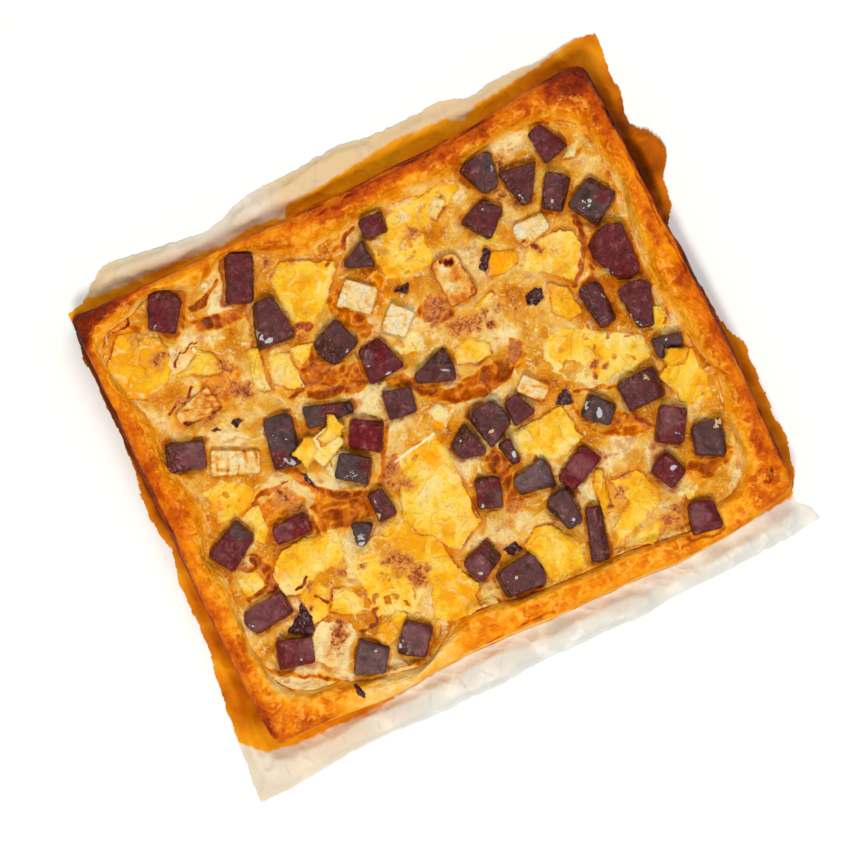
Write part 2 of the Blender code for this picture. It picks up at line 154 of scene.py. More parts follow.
def outside(places, loop, reach=25.0):
    """How far places lie outside a closed outline, up to a reach, and negative inside it."""
    found = np.full(len(places), reach)
    close = near(places, loop, reach)
    x, y = places[close].T
    nearest = np.full(len(x), np.inf)
    inside = np.zeros(len(x), bool)
    for (x0, y0), (x1, y1) in zip(loop, np.roll(loop, -1, axis=0)):
        run_x, run_y = x1 - x0, y1 - y0
        share = np.clip(((x - x0) * run_x + (y - y0) * run_y) / (run_x**2 + run_y**2 + 1e-9), 0, 1)
        nearest = np.minimum(nearest, (x - x0 - share * run_x) ** 2 + (y - y0 - share * run_y) ** 2)
        level = run_y if abs(run_y) > 1e-9 else 1e-9
        inside ^= ((y0 > y) != (y1 > y)) & (x < run_x * (y - y0) / level + x0)
    found[close] = np.where(inside, -np.sqrt(nearest), np.sqrt(nearest))
    return found


def from_line(places, line, reach=10.0):
    """How far places lie from an open line of points, up to a reach."""
    found = np.full(len(places), reach)
    close = near(places, line, reach)
    picked = places[close]
    for start, end in zip(line[:-1], line[1:]):
        run = end - start
        share = np.clip(((picked - start) @ run) / (run @ run + 1e-9), 0, 1)
        found[close] = np.minimum(found[close], np.linalg.norm(picked - start - share[:, None] * run, axis=1))
    return found


def curve_through(points, count, closed=False):
    """A smooth line through points, read at equal steps."""
    points = np.asarray(points, float)
    if closed:
        steps = np.arange(count) * len(points) / count
        wrapped = np.vstack([points[-1:], points, points[:2]])
    else:
        steps = np.linspace(0, len(points) - 1.000001, count)
        wrapped = np.vstack([points[:1], points, points[-1:], points[-1:]])
    first = np.floor(steps).astype(int)
    t = (steps - first)[:, None]
    before, start, end, after = (wrapped[first + shift] for shift in range(4))
    bend = 2 * before - 5 * start + 4 * end - after + t * (3 * (start - end) + after - before)
    return start + 0.5 * t * (end - before + t * bend)


# %% [markdown]
# ## Outlines read from the solids
#
# The crust, the well of the filling and the torn paper each have an uneven outline. It is already
# in the solids, so it is read from there: the edges where a solid's flat underside ends, walked in
# order. That keeps the dressed tart exactly on its solids.

# %% The crust, the well and the paper
RIM_COLUMNS = 1150


def foot_loop(name, highest):
    """The outline of a solid's underside below a height, anticlockwise, in tart millimetres."""
    bm = bmesh.new()
    bm.from_mesh(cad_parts[name].data)
    bmesh.ops.remove_doubles(bm, verts=bm.verts, dist=1e-6)
    limit = highest * MM
    low = {f for f in bm.faces if f.normal.z < -0.3 and all(v.co.z < limit for v in f.verts)}
    border = {e for e in bm.edges if sum(f in low for f in e.link_faces) == 1}
    edge = min(border, key=lambda e: e.verts[0].co.x)
    corner = edge.verts[0]
    loop = []
    while edge:
        border.discard(edge)
        loop.append(corner.co.copy())
        corner = edge.other_vert(corner)
        edge = next((e for e in corner.link_edges if e in border), None)
    bm.free()
    loop = to_tart(loop)[:, :2]
    x, y = loop.T
    turn = np.sum(x * np.roll(y, -1) - y * np.roll(x, -1))
    return loop if turn > 0 else loop[::-1]


def matched(loop, guide):
    """The loop, turned so that its first corner pairs with the guide's first corner."""
    misses = [np.sum((guide - np.roll(loop, shift, axis=0)) ** 2) for shift in range(len(loop))]
    return np.roll(loop, int(np.argmin(misses)), axis=0)


crust_corners = foot_loop("pastry_case", 1.0)
well_corners = matched(foot_loop("cheese_filling", 6.0), crust_corners)
crust_loop = curve_through(crust_corners, RIM_COLUMNS, closed=True)
well_loop = curve_through(well_corners, RIM_COLUMNS, closed=True)
paper_loop = foot_loop("baking_paper", 9.0)
print("outline corners:", len(crust_corners), len(well_corners), len(paper_loop))

# %% [markdown]
# ## Colours and material nodes
#
# A food material is a few colours mixed by masks. Colours are named by their sRGB hex value, as in
# a paint program, and one function turns them to the linear values that Blender renders with.
# Another adds a node with its settings and links, so each material below reads as one list.

# %% Colour and node helpers


def colour(hex_name):
    """An sRGB hex colour as linear red, green, blue and alpha."""
    parts = [int(hex_name[place : place + 2], 16) / 255 for place in (1, 3, 5)]
    return (*(p / 12.92 if p <= 0.04045 else ((p + 0.055) / 1.055) ** 2.4 for p in parts), 1.0)


def new_material(name):
    """An empty material and its surface shader."""
    material = bpy.data.materials.new(name)
    material.use_nodes = True
    return material, material.node_tree.nodes["Principled BSDF"]


def add_node(material, kind, output, inputs, stops=(), **settings):
    """Adds a node with its settings and links, and returns one of its outputs.

    An input is a number, a colour or another output. A colour ramp also takes stops, each a place
    from 0 to 1 and a hex colour.
    """
    tree = material.node_tree
    made = tree.nodes.new("ShaderNode" + kind)
    for name, value in settings.items():
        setattr(made, name, value)
    for name, value in inputs.items():
        if isinstance(value, bpy.types.NodeSocket):
            tree.links.new(value, made.inputs[name])
        else:
            made.inputs[name].default_value = value
    for index, (place, hex_name) in enumerate(stops):
        if index > 1:
            made.color_ramp.elements.new(1.0)
        made.color_ramp.elements[index].position = place
        made.color_ramp.elements[index].color = colour(hex_name)
    return made.outputs[output]


def connect(material, output, socket):
    """Links an output to a socket of the surface shader."""
    material.node_tree.links.new(output, socket)


# %% [markdown]
# Three patterns come back in every material. Grain is even noise, as in crumb. Creases are noise
# folded over into wandering lines, as melted cheese has. A mask adds up values that the mesh keeps
# for each point and some of these patterns, so that no edge is as clean as the outline that drew
# it. Colours are then laid over each other by their masks, in the order they cooked.

# %% Grain, creases, masks and layers
CREASE_SHAPE = {"Lacunarity": 2.1, "Offset": 0.9, "Gain": 1.6}


def grain(material, patch, detail=5.0, roughness=0.5, swirl=0.0, low=0.27, high=0.73):
    """Even noise, mostly from -1 to 1, in patches of a size in millimetres."""
    settings = {"Scale": 1 / (patch * MM), "Detail": detail, "Roughness": roughness, "Distortion": swirl}
    place = add_node(material, "TexCoord", "Object", {})
    value = add_node(material, "TexNoise", "Fac", {"Vector": place, **settings})
    limits = {"From Min": low, "From Max": high, "To Min": -1.0, "To Max": 1.0}
    return add_node(material, "MapRange", 0, {"Value": value, **limits})


def creases(material, patch, detail=3.0, swirl=1.0):
    """Wandering lines, 1 on a line and -1 far from one, at a spacing in millimetres."""
    settings = {"Scale": 1 / (patch * MM), "Detail": detail, "Roughness": 0.5, "Distortion": swirl}
    settings.update(CREASE_SHAPE)
    place = add_node(material, "TexCoord", "Object", {})
    folded = add_node(material, "TexNoise", "Fac", {"Vector": place, **settings}, noise_type="RIDGED_MULTIFRACTAL")
    limits = {"From Min": 0.3, "From Max": 1.5, "To Min": -1.0, "To Max": 1.0}
    return add_node(material, "MapRange", 0, {"Value": folded, **limits})


def mask_from(material, parts, low, high, most=1.0):
    """The sum of values times their amounts, stretched so that low gives 0 and high gives most.

    A value is an output or the name of a value that the mesh keeps.
    """
    total = 0.0
    for value, amount in parts:
        if isinstance(value, str):
            value = add_node(material, "Attribute", "Fac", {}, attribute_name=value)
        total = add_node(material, "Math", 0, {0: value, 1: amount, 2: total}, operation="MULTIPLY_ADD")
    return add_node(material, "MapRange", 0, {"Value": total, "From Min": low, "From Max": high, "To Max": most})


def layered(material, look, layers):
    """Colours laid over a look, each where its mask is 1."""
    for mask, above in layers:
        above = colour(above) if isinstance(above, str) else above
        look = add_node(material, "Mix", 2, {0: mask, 6: look, 7: above}, data_type="RGBA")
    return look


# %% [markdown]
# ## Meshes from numpy
#
# A surface is a grid of points, so its rows and columns come from numpy and its faces from one
# rule. Values such as how browned a point is are kept on the mesh, where materials can read them.
# The same function sets each finished piece in the place of its solid.

# %% Mesh helpers


def to_piece(name, places, faces, material, slot, node, **fields):
    """Makes a shown piece from points in tart millimetres, and puts it in the place of a solid."""
    mesh = bpy.data.meshes.new(name)
    mesh.from_pydata(to_metres(places), [], faces)
    mesh.shade_smooth()
    mesh.materials.append(material)
    for field, values in fields.items():
        attribute = mesh.attributes.new(field, "FLOAT", "POINT")
        attribute.data.foreach_set("value", np.asarray(values, np.float32))
    piece = bpy.data.objects.new(name, mesh)
    bpy.context.scene.collection.objects.link(piece)
    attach(piece, "root")
    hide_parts(node)
    print(name, "has", len(places), "points and", len(faces), "faces")


def grid_faces(rows, columns, closed):
    """Four-sided faces between rows of points. A closed grid joins its last column to its first."""
    first = np.arange(columns if closed else columns - 1)
    following = (first + 1) % columns
    row = np.arange(rows - 1)[:, None] * columns
    corners = [row + first, row + following, row + columns + following, row + columns + first]
    return np.stack([c.ravel() for c in corners], axis=1).tolist()


def field_mesh(loop, step, spill, snapped):
    """A square grid of points inside an outline, which may spill past it or be drawn back to it."""
    low, high = loop.min(axis=0) - spill, loop.max(axis=0) + spill
    xs = np.arange(low[0], high[0] + step, step)
    ys = np.arange(low[1], high[1] + step, step)
    grid_x, grid_y = np.meshgrid(xs, ys)
    places = np.column_stack([grid_x.ravel(), grid_y.ravel()])
    kept = outside(places, loop) < spill
    square = np.array(grid_faces(len(ys), len(xs), closed=False))
    square = square[kept[square].all(axis=1)]
    used = np.unique(square)
    renumbered = np.zeros(len(places), int)
    renumbered[used] = np.arange(len(used))
    places = places[used]
    if snapped:
        spilt = outside(places, loop) > 0
        misses = np.linalg.norm(places[spilt, None] - loop[None], axis=2)
        places[spilt] = loop[misses.argmin(axis=1)]
    return places, renumbered[square].tolist()


def border_edges(faces):
    """The edges of a sheet that belong to one face only."""
    square = np.array(faces)
    edges = np.concatenate([square[:, [side, (side + 1) % 4]] for side in range(4)])
    edges = edges[edges[:, 0] != edges[:, 1]]
    known = set(map(tuple, edges.tolist()))
    return np.array([edge for edge in known if edge[::-1] not in known])


def with_walls(places, faces, bottom, rows):
    """Adds walls from the border of a sheet straight down to a level."""
    border = border_edges(faces)
    corners = np.unique(border)
    position = {corner: index for index, corner in enumerate(corners)}
    first, second = ([position[corner] for corner in border[:, end]] for end in (0, 1))
    levels = [places]
    upper = border
    for row in range(1, rows + 1):
        level = places[corners].copy()
        level[:, 2] += (bottom - level[:, 2]) * row / rows
        lower = np.column_stack([first, second]) + len(places) + (row - 1) * len(corners)
        faces = faces + np.column_stack([upper[:, 1], upper[:, 0], lower[:, 0], lower[:, 1]]).tolist()
        levels.append(level)
        upper = lower
    return np.vstack(levels), faces


# %% [markdown]
# ## Camera, light and floor
#
# The picture was taken from straight above with the tart turned a little. A far camera with a long
# lens keeps its sides parallel. The light is a large soft lamp from below the picture, with a
# bright room all round, because wet beetroot shows what it reflects.

# %% Camera, light and floor
CAMERA_HEIGHT = 3.0
CAMERA_PLACE = (-8.6, -8.3, 0.0)
CAMERA_TURN = -26.645
PIXELS_PER_METRE = 1968.0
IMAGE_WIDTH = 850
SENSOR_WIDTH = 36.0

scene = bpy.context.scene
scene.view_settings.view_transform = "Standard"
camera_data = bpy.data.cameras.new("camera")
camera_data.sensor_width = SENSOR_WIDTH
camera_data.lens = SENSOR_WIDTH * PIXELS_PER_METRE * CAMERA_HEIGHT / IMAGE_WIDTH
camera = bpy.data.objects.new("camera", camera_data)
camera.location = (*to_metres(CAMERA_PLACE)[:2], CAMERA_HEIGHT)
camera.rotation_euler = (0, 0, math.radians(CAMERA_TURN))
scene.collection.objects.link(camera)
scene.camera = camera


def soft_lamp(name, place, size, watts, tint):
    """A square area lamp that points at the middle of the tart."""
    data = bpy.data.lights.new(name, "AREA")
    data.size = size
    data.energy = watts
    data.color = colour(tint)[:3]
    lamp = bpy.data.objects.new(name, data)
    lamp.location = place
    lamp.rotation_euler = Vector(place).to_track_quat("Z", "Y").to_euler()
    scene.collection.objects.link(lamp)


soft_lamp("window", (-0.45, -0.8, 1.6), 0.4, 20.5, "#fffaf2")
soft_lamp("bounce card", (0.6, 0.8, 1.6), 1.2, 14, "#ffffff")
world = bpy.data.worlds.new("room")
world.use_nodes = True
world.node_tree.nodes["Background"].inputs["Color"].default_value = colour("#fffdfa")
world.node_tree.nodes["Background"].inputs["Strength"].default_value = 0.42
scene.world = world

table_top, shader = new_material("matt white table top")
shader.inputs["Base Color"].default_value = colour("#f6f5f3")
shader.inputs["Roughness"].default_value = 0.9
bm = bmesh.new()
bmesh.ops.create_grid(bm, x_segments=2, y_segments=2, size=3.0)
floor_mesh = bpy.data.meshes.new("table")
bm.to_mesh(floor_mesh)
bm.free()
floor_mesh.materials.append(table_top)
floor = bpy.data.objects.new("table", floor_mesh)
scene.collection.objects.link(floor)

# %% [markdown]
# ## Baking paper
#
# Baking paper is thin, pale and a little see-through, with soft crinkles. Hot fat soaks it next to
# the crust and browns it, and the short sides are soaked through. The sheet is one grid of points,
# pressed flat under the tart and lifted in waves towards its torn edges. The fat's edge was read
# along both long sides as a line of places, and the distance past it gives the stain.

# %% The paper sheet
PAPER_STEP = 1.2
PAPER_REST = 0.25
TOOTH_PITCH = 2.6
TOOTH_DEPTH = 0.7
STAIN_TOP = [(-150, 122), (-140, 127), (-120, 124), (-90, 122.5), (-60, 120), (-45, 121), (-30, 120), (-25, 117)]
STAIN_TOP += [(-22, 123), (0, 124), (20, 126), (40, 128), (70, 126), (78, 121), (86, 125), (125, 129), (150, 134)]
STAIN_BOTTOM = [(-165, -110), (-155, -121), (-140, -124), (-100, -126), (-70, -124), (-45, -121), (-20, -123)]
STAIN_BOTTOM += [(0, -124), (15, -121), (50, -124), (75, -125), (110, -126), (140, -125), (150, -121)]


def facets(flat, pitch, seed):
    """Flat-sided pits round scattered places, and the straight creases where they meet."""
    low, high = flat.min(axis=0), flat.max(axis=0)
    count = int((high - low).prod() / pitch**2)
    chance = np.random.default_rng(seed)
    nearest = np.full(len(flat), np.inf)
    second = nearest.copy()
    for centre, turn in zip(chance.uniform(low, high, (count, 2)), chance.uniform(0, math.pi, count)):
        run = flat - centre
        way = np.array([math.cos(turn), math.sin(turn)])
        gap = np.abs(run @ way) + 0.6 * np.abs(run @ (-way[1], way[0]))
        second = np.minimum(second, np.maximum(nearest, gap))
        nearest = np.minimum(nearest, gap)
    return nearest, smooth(0.08 * pitch, 0.0, second - nearest)


torn_loop = curve_through(paper_loop, 2400, closed=True)
walked = np.cumsum(np.linalg.norm(np.roll(torn_loop, -1, axis=0) - torn_loop, axis=1))
on_short_side = smooth(138, 146, np.abs(torn_loop[:, 0]))
teeth = TOOTH_DEPTH * (np.abs(np.sin(walked * math.pi / TOOTH_PITCH)) - 1)
outward = torn_loop / np.linalg.norm(torn_loop, axis=1)[:, None]
torn_loop = torn_loop + outward * (on_short_side * teeth + 0.4 * noise(torn_loop, 3.0, 11))[:, None]

sheet, sheet_faces = field_mesh(torn_loop[::2], PAPER_STEP, 0.7 * PAPER_STEP, snapped=True)
past_crust = outside(sheet, crust_loop[::6])
from_torn_edge = -outside(sheet, torn_loop[::6], reach=9.0)
lift = smooth(1, 14, past_crust) * (0.1 + 0.9 * smooth(0, 8, from_torn_edge))
wave = 0.8 + 0.9 * noise(sheet, 30, 21)
large_pits, large_creases = facets(sheet * (1.0, 0.6), 22, 23)
small_pits, small_creases = facets(sheet * (1.0, 0.7), 9, 24)
creased = lift * (large_creases + 0.6 * small_creases * smooth(-0.2, 0.5, noise(sheet, 25, 27)))
crumpled = 0.4 * large_pits + 0.36 * small_pits
sheet_height = PAPER_REST + np.clip(lift * (wave + crumpled), 0, 4.4)

inside_top = np.interp(sheet[:, 0], *np.transpose(STAIN_TOP)) - sheet[:, 1]
inside_bottom = sheet[:, 1] - np.interp(sheet[:, 0], *np.transpose(STAIN_BOTTOM))
stain = np.minimum(inside_top, inside_bottom)
right_half = smooth(60, 140, sheet[:, 0])
upper_half = smooth(-30, 60, sheet[:, 1])
soaked = 0.22 + 0.4 * smooth(7, 0, past_crust) + 0.3 * right_half * upper_half
on_long_side = smooth(100, 118, np.abs(sheet[:, 1]))
# Paler fat along both long sides: painted light where the rim shades the paper
soaked += 0.12 * noise(sheet, 12, 26) - 0.45 * on_long_side
# Painted shadow: a dark line in the stain beside the crust on the upper left
soaked += 0.8 * smooth(3, 0, past_crust) * smooth(-135, -142, sheet[:, 0]) * upper_half
soaked -= 0.15 * smooth(-135, -142, sheet[:, 0]) * (1 - upper_half)
soaked += 0.3 * smooth(-152, -160, sheet[:, 0]) * smooth(-60, -90, sheet[:, 1])
warmth = (0.1 + 0.5 * upper_half) * smooth(12, 0, past_crust)
warmth += 0.8 * smooth(-35, -15, sheet[:, 0]) * smooth(110, 120, sheet[:, 1])
# Painted light: dry paper is lighter close to the crust, where the tart shades it
near_crust = smooth(10, 2, past_crust)
warmth += 0.5 * upper_half + 0.6 * smooth(-60, -130, sheet[:, 0])
warmth -= 0.6 * smooth(60, 110, sheet[:, 0]) * (1 - upper_half)

# %% [markdown]
# The stain has a hard, wandering edge, as a fat stain has. The mask holds the distance to that
# edge, and fine noise in the material roughens it before a short ramp turns it into a colour.

# %% Baking paper material
# Silicone paper, pale where it is dry and amber to brown where fat has soaked it, with painted light
# and shade near the crust and on its crinkles
paper, shader = new_material("silicone baking paper")
mottle = grain(paper, 12.0, detail=6.0)
crinkles = creases(paper, 24.0, detail=2.0, swirl=0.3)
fat_mask = mask_from(paper, [("stain", 1.0), (grain(paper, 4.0), 1.0)], -0.7, 0.7)
# The dry tone is lighter on the crinkles' crests, as the bump is: painted light and shade
dry_tone = mask_from(paper, [(mottle, 0.25), (crinkles, 0.4), ("near_crust", 0.5)], -0.6, 0.8)
dry_stops = [(0.1, "#cfcec7"), (0.45, "#dbdad3"), (0.9, "#f8f7f1")]
dry = add_node(paper, "ValToRGB", 0, {"Fac": dry_tone}, stops=dry_stops)
warmed = mask_from(paper, [("warmth", 1.0), (mottle, 0.2)], 0.0, 1.2, 0.9)
# Grey crease lines: partly the paper's crease marks, partly painted shade
crease_line = mask_from(paper, [("creased", 1.0), (mottle, 0.3)], 0.2, 1.2, 0.7)
dry = layered(paper, dry, [(warmed, "#dcbd8c"), (crease_line, "#b9b0a0")])
fat_tone = mask_from(paper, [("soaked", 1.0), (mottle, 0.2), (crinkles, -0.15), ("creased", 0.2)], -0.1, 1.0)
fat_stops = [(0.0, "#ea9a10"), (0.3, "#d87c08"), (0.6, "#bf6103"), (0.8, "#984602"), (1.0, "#663006")]
fat = add_node(paper, "ValToRGB", 0, {"Fac": fat_tone}, stops=fat_stops)
connect(paper, layered(paper, dry, [(fat_mask, fat)]), shader.inputs["Base Color"])
shader.inputs["Specular IOR Level"].default_value = 0.04
shader.inputs["Roughness"].default_value = 0.5
crinkled = mask_from(paper, [(mottle, 0.3), (crinkles, 0.8)], -1.0, 1.0)
relief = add_node(paper, "Bump", 0, {"Height": crinkled, "Distance": 1.5 * MM})
connect(paper, relief, shader.inputs["Normal"])

paper_places = np.column_stack([sheet, sheet_height])
to_piece(
    "paper_sheet",
    paper_places,
    sheet_faces,
    paper,
    "baking_paper",
    "baking_paper",
    stain=stain,
    soaked=soaked,
    warmth=warmth,
    creased=creased,
    near_crust=near_crust,
)

# %% [markdown]
# ## Where everything lies
#
# The filling is goat cheese in slices that melted and browned, with soft onion and its sauce
# between them and small scraps of beetroot. Each slice is an outline read from the picture, with
# its thickness and how yellow it melted. Some slices reach up onto the crust, so the crust reads
# the same list.

# %% Melted slices
# Outline in millimetres, thickness, how yellow it is from 0 to 1, and the side that stands up in
# degrees from the right, or None where it melted flat
MELTED_SLICES = (
    ([(-143, 81), (-139, 90), (-133, 98), (-127, 103), (-117, 100), (-108, 92), (-106, 84), (-109, 75),
      (-115, 67), (-127, 65), (-137, 70)], 1.5, 0.85, 180),
    ([(-113, 72), (-110, 68), (-103, 67), (-96, 63), (-88, 61), (-86, 66), (-89, 74), (-94, 80), (-98, 80),
      (-97, 76), (-102, 72)], 3.0, 0.65, -60),
    ([(-73, 67.5), (-66.5, 65), (-67, 60), (-69.5, 41), (-78, 46), (-76, 58)], 2.4, 0.45, -20),
    ([(-66.5, 62), (-57, 59), (-54, 56), (-53, 36), (-60, 36.5), (-68, 44)], 2.2, 0.5, -30),
    ([(-53, 58), (-47, 57), (-40, 54), (-45, 49), (-53, 45)], 1.4, 0.55, 40),
    ([(-47, 93), (-38, 98), (-28, 96), (-11, 86), (-17, 78), (-22, 72), (-28, 66), (-37, 61), (-46, 60), (-47, 78)],
     1.9, 0.62, 40),
    ([(8, 86), (20, 94), (24, 99), (60, 98), (62, 92), (52, 85), (38, 80), (34, 62), (16, 60), (6, 66), (5, 76)],
     0.8, 0.7, None),
    ([(39, 88), (47, 95), (52, 88), (43, 81)], 4.4, 0.1, -40),
    ([(113, 81), (119, 86), (128, 85), (120, 78.5)], 2.6, 0.0, -90),
    ([(59, 55), (72, 51), (74, 44), (63, 40), (53, 44)], 1.8, 1.05, 130),
    ([(74, 47), (80, 50), (97, 51), (103, 46), (104, 39), (100, 29), (91, 21), (87, 27), (80, 33), (68, 39)],
     1.7, 0.5, -20),
    ([(79, 29), (88, 22), (89, 6), (80, 5), (72, 14), (76, 22)], 2.4, 0.9, 20),
    ([(60, 2), (72, 7), (84, 2), (92, -4), (103, -10), (112, -18), (111, -30), (98, -32), (76, -30), (70, -26), (60, -14)],
     1.0, 0.45, None),
    ([(26, -31), (57, -30), (59, -40), (61, -50), (50, -54), (41, -56), (34, -48), (26, -44)], 2.0, 0.45, 40),
    ([(118, -27), (130, -34), (132, -50), (129, -64), (114, -60), (110, -48), (107, -39), (113, -36)], 2.4, 0.65, 120),
    ([(113, -14), (120, -6), (126, -8), (126, -19), (118, -20)], 1.2, 0.7, 60),
    ([(7, -85), (18, -80), (27, -82), (34, -92), (37, -98), (34, -110), (14, -109), (11, -97)], 2.3, 0.65, 140),
    ([(-31, -17), (-6, -12), (-3, -22), (-3, -36), (-5, -50), (-4, -65), (-21, -73), (-26, -68), (-36, -56), (-41, -44),
      (-36, -32), (-31, -26)], 1.9, 0.58, -70),
    ([(-52, -42), (-38, -46), (-36, -53), (-28, -64), (-26, -80), (-19, -92), (-24, -97), (-24, -104), (-40, -105),
      (-50, -98), (-43, -84), (-47, -70), (-54, -52)], 1.9, 0.75, 0),
    ([(-112, -40), (-101, -31), (-82, -32), (-70, -36), (-72, -48), (-80, -54), (-92, -52), (-103, -57), (-111, -55)],
     2.1, 0.5, 165),
    ([(-105, -56), (-97, -51), (-90, -54), (-88, -62), (-94, -72), (-104, -74), (-104, -66)], 1.8, 0.7, 190),
    ([(-88, -61), (-94, -71), (-86, -77), (-79, -81), (-74, -74), (-78, -64)], 2.4, 0.72, 170),
    ([(-78, -54), (-68, -48), (-56, -55), (-46, -68), (-44, -82), (-55, -92), (-70, -88), (-78, -82), (-74, -70)],
     0.9, 0.55, None),
    ([(-83, -91), (-74, -87), (-62, -85), (-60, -91), (-66, -98), (-78, -99)], 1.8, 0.85, -60),
    ([(-113, -89), (-109, -79), (-102, -74), (-93, -75), (-85, -82), (-85, -88), (-92, -93), (-98, -104), (-107, -98)],
     1.6, 0.05, 150),
    ([(-127, 12), (-118, 14), (-106, 11), (-99, 3), (-103, -6), (-118, -8), (-127, -9), (-124, 2)], 1.2, 0.8, None),
    ([(-114, -8), (-101, -6), (-103, -18), (-108, -30), (-113, -22), (-110, -16)], 1.5, 0.3, 20),
    ([(-131, -34), (-118, -32), (-115, -45), (-128, -47)], 1.4, 0.45, -60),
    ([(-29, 24), (-21, 25), (-20, 18), (-24, 10), (-31, 7), (-33, 14)], 2.0, 0.25, None),
    ([(21, 20), (32, 23), (40, 15), (38, 9), (28, 7), (20, 11)], 1.8, 0.8, -110),
    ([(-7, 36), (8, 38), (13, 30), (10, 24), (-3, 26)], 1.0, 0.28, None),
    ([(46, -70), (55, -71), (55, -80), (50, -84), (46, -78)], 2.0, -0.4, None),
    ([(62, -74), (70, -76), (78, -76), (84, -90), (80, -98), (64, -104), (50, -108), (54, -96), (66, -88)], 1.5, 0.7, 100),
    ([(57, -67), (64, -69), (60, -78), (57, -90), (51, -92), (52, -82), (54, -72)], 3.0, 0.95, 160),
    ([(52, -108), (64, -104), (78, -103), (80, -107), (68, -114)], 1.4, 0.8, -90),
    ([(-5, -2), (3, 0), (7, -5), (5, -12), (-1, -17), (-3, -12)], 3.4, -0.1, None),
    ([(52, 62), (62, 70), (72, 60), (66, 56), (56, 60)], 1.0, 0.6, None),
    ([(-62, -2), (-52, 2), (-48, -4), (-60, -16), (-66, -18), (-68, -8)], 1.0, 0.15, None),
    ([(38, 33), (52, 38), (52, 34), (46, 31)], 1.8, 0.75, 90),
    ([(87, -96), (96, -93), (104, -104), (94, -103)], 1.2, 0.1, None),
)
# Slices that lie on top of a die of beetroot, with the height of their underside
UPPER_SLICES = (
    ([(113, -33), (118, -27), (126, -31), (129, -34), (124, -40), (114, -40)], 2.2, 0.85, 100, 2.6),
    ([(-62, 11), (-55, 13), (-50, 18.5), (-46.5, 16), (-45, 9), (-50, 5), (-60, 5)], 2.0, 0.5, 60, 5.0),
    ([(-76, 8.5), (-66, 14), (-61, 11), (-62, 4), (-71, -1)], 2.0, 0.5, 150, 4.8),
)

# %% [markdown]
# Soft onion is see-through and amber, in puddles with curled strips. A puddle is an outline with
# how dark it is. A strip or a trickle of sauce is a line with its width, its height and how dark it
# is.

# %% Onion, sauce and browned spots
ONION_PUDDLES = (
    ([(-92, 91), (-76, 88), (-62, 87), (-64, 81), (-78, 81), (-90, 86)], 0.85),
    ([(-128, 106), (-116, 104), (-112, 96), (-118, 91), (-124, 96)], 0.45),
    ([(-103, 60), (-86, 66), (-80, 58), (-80, 44), (-92, 46), (-100, 50)], 0.55),
    ([(-55, 42), (-48, 52), (-40, 50), (-37, 38), (-26, 36), (-20, 28), (-26, 22), (-40, 24), (-55, 30)], 0.7),
    ([(-26, 70), (-18, 72), (-14, 62), (-8, 48), (-12, 44), (-20, 48), (-24, 60)], 0.65),
    ([(2, 78), (6, 76), (6, 66), (3, 62), (0, 68)], 0.5),
    ([(13, 44), (22, 50), (31, 44), (29, 35), (17, 35)], 0.8),
    ([(-4, 14), (3, 7), (12, 3), (24, 5), (38, 5), (46, 0), (38, -7), (20, -9), (6, -3), (-4, 5)], 0.68),
    ([(-17, 22), (-6, 20), (-3, 12), (-10, 14), (-17, 16)], 0.7),
    ([(-64, -18), (-52, -23), (-46, -28), (-50, -37), (-62, -37), (-72, -31), (-81, -33), (-78, -20), (-70, -12)], 0.72),
    ([(12, -36), (18, -34), (22, -46), (17, -50), (10, -46)], 0.85),
    ([(43, 2), (50, 11), (54, 8), (52, 2), (46, -2)], 1.1),
    ([(64, -45), (72, -51), (81, -46), (86, -49), (93, -59), (84, -61), (73, -56)], 0.65),
    ([(-101, -8), (-90, -4), (-84, -6), (-80, -14), (-84, -20), (-92, -19), (-102, -18)], 0.6),
    ([(95, -88), (104, -84), (112, -88), (126, -84), (124, -92), (114, -94), (104, -98)], 0.62),
    ([(60, -70), (66, -75), (74, -74), (80, -78), (74, -82), (64, -78)], 0.3),
    ([(104, 18), (114, 13), (116, 10), (106, 9), (102, 13)], 0.4),
)
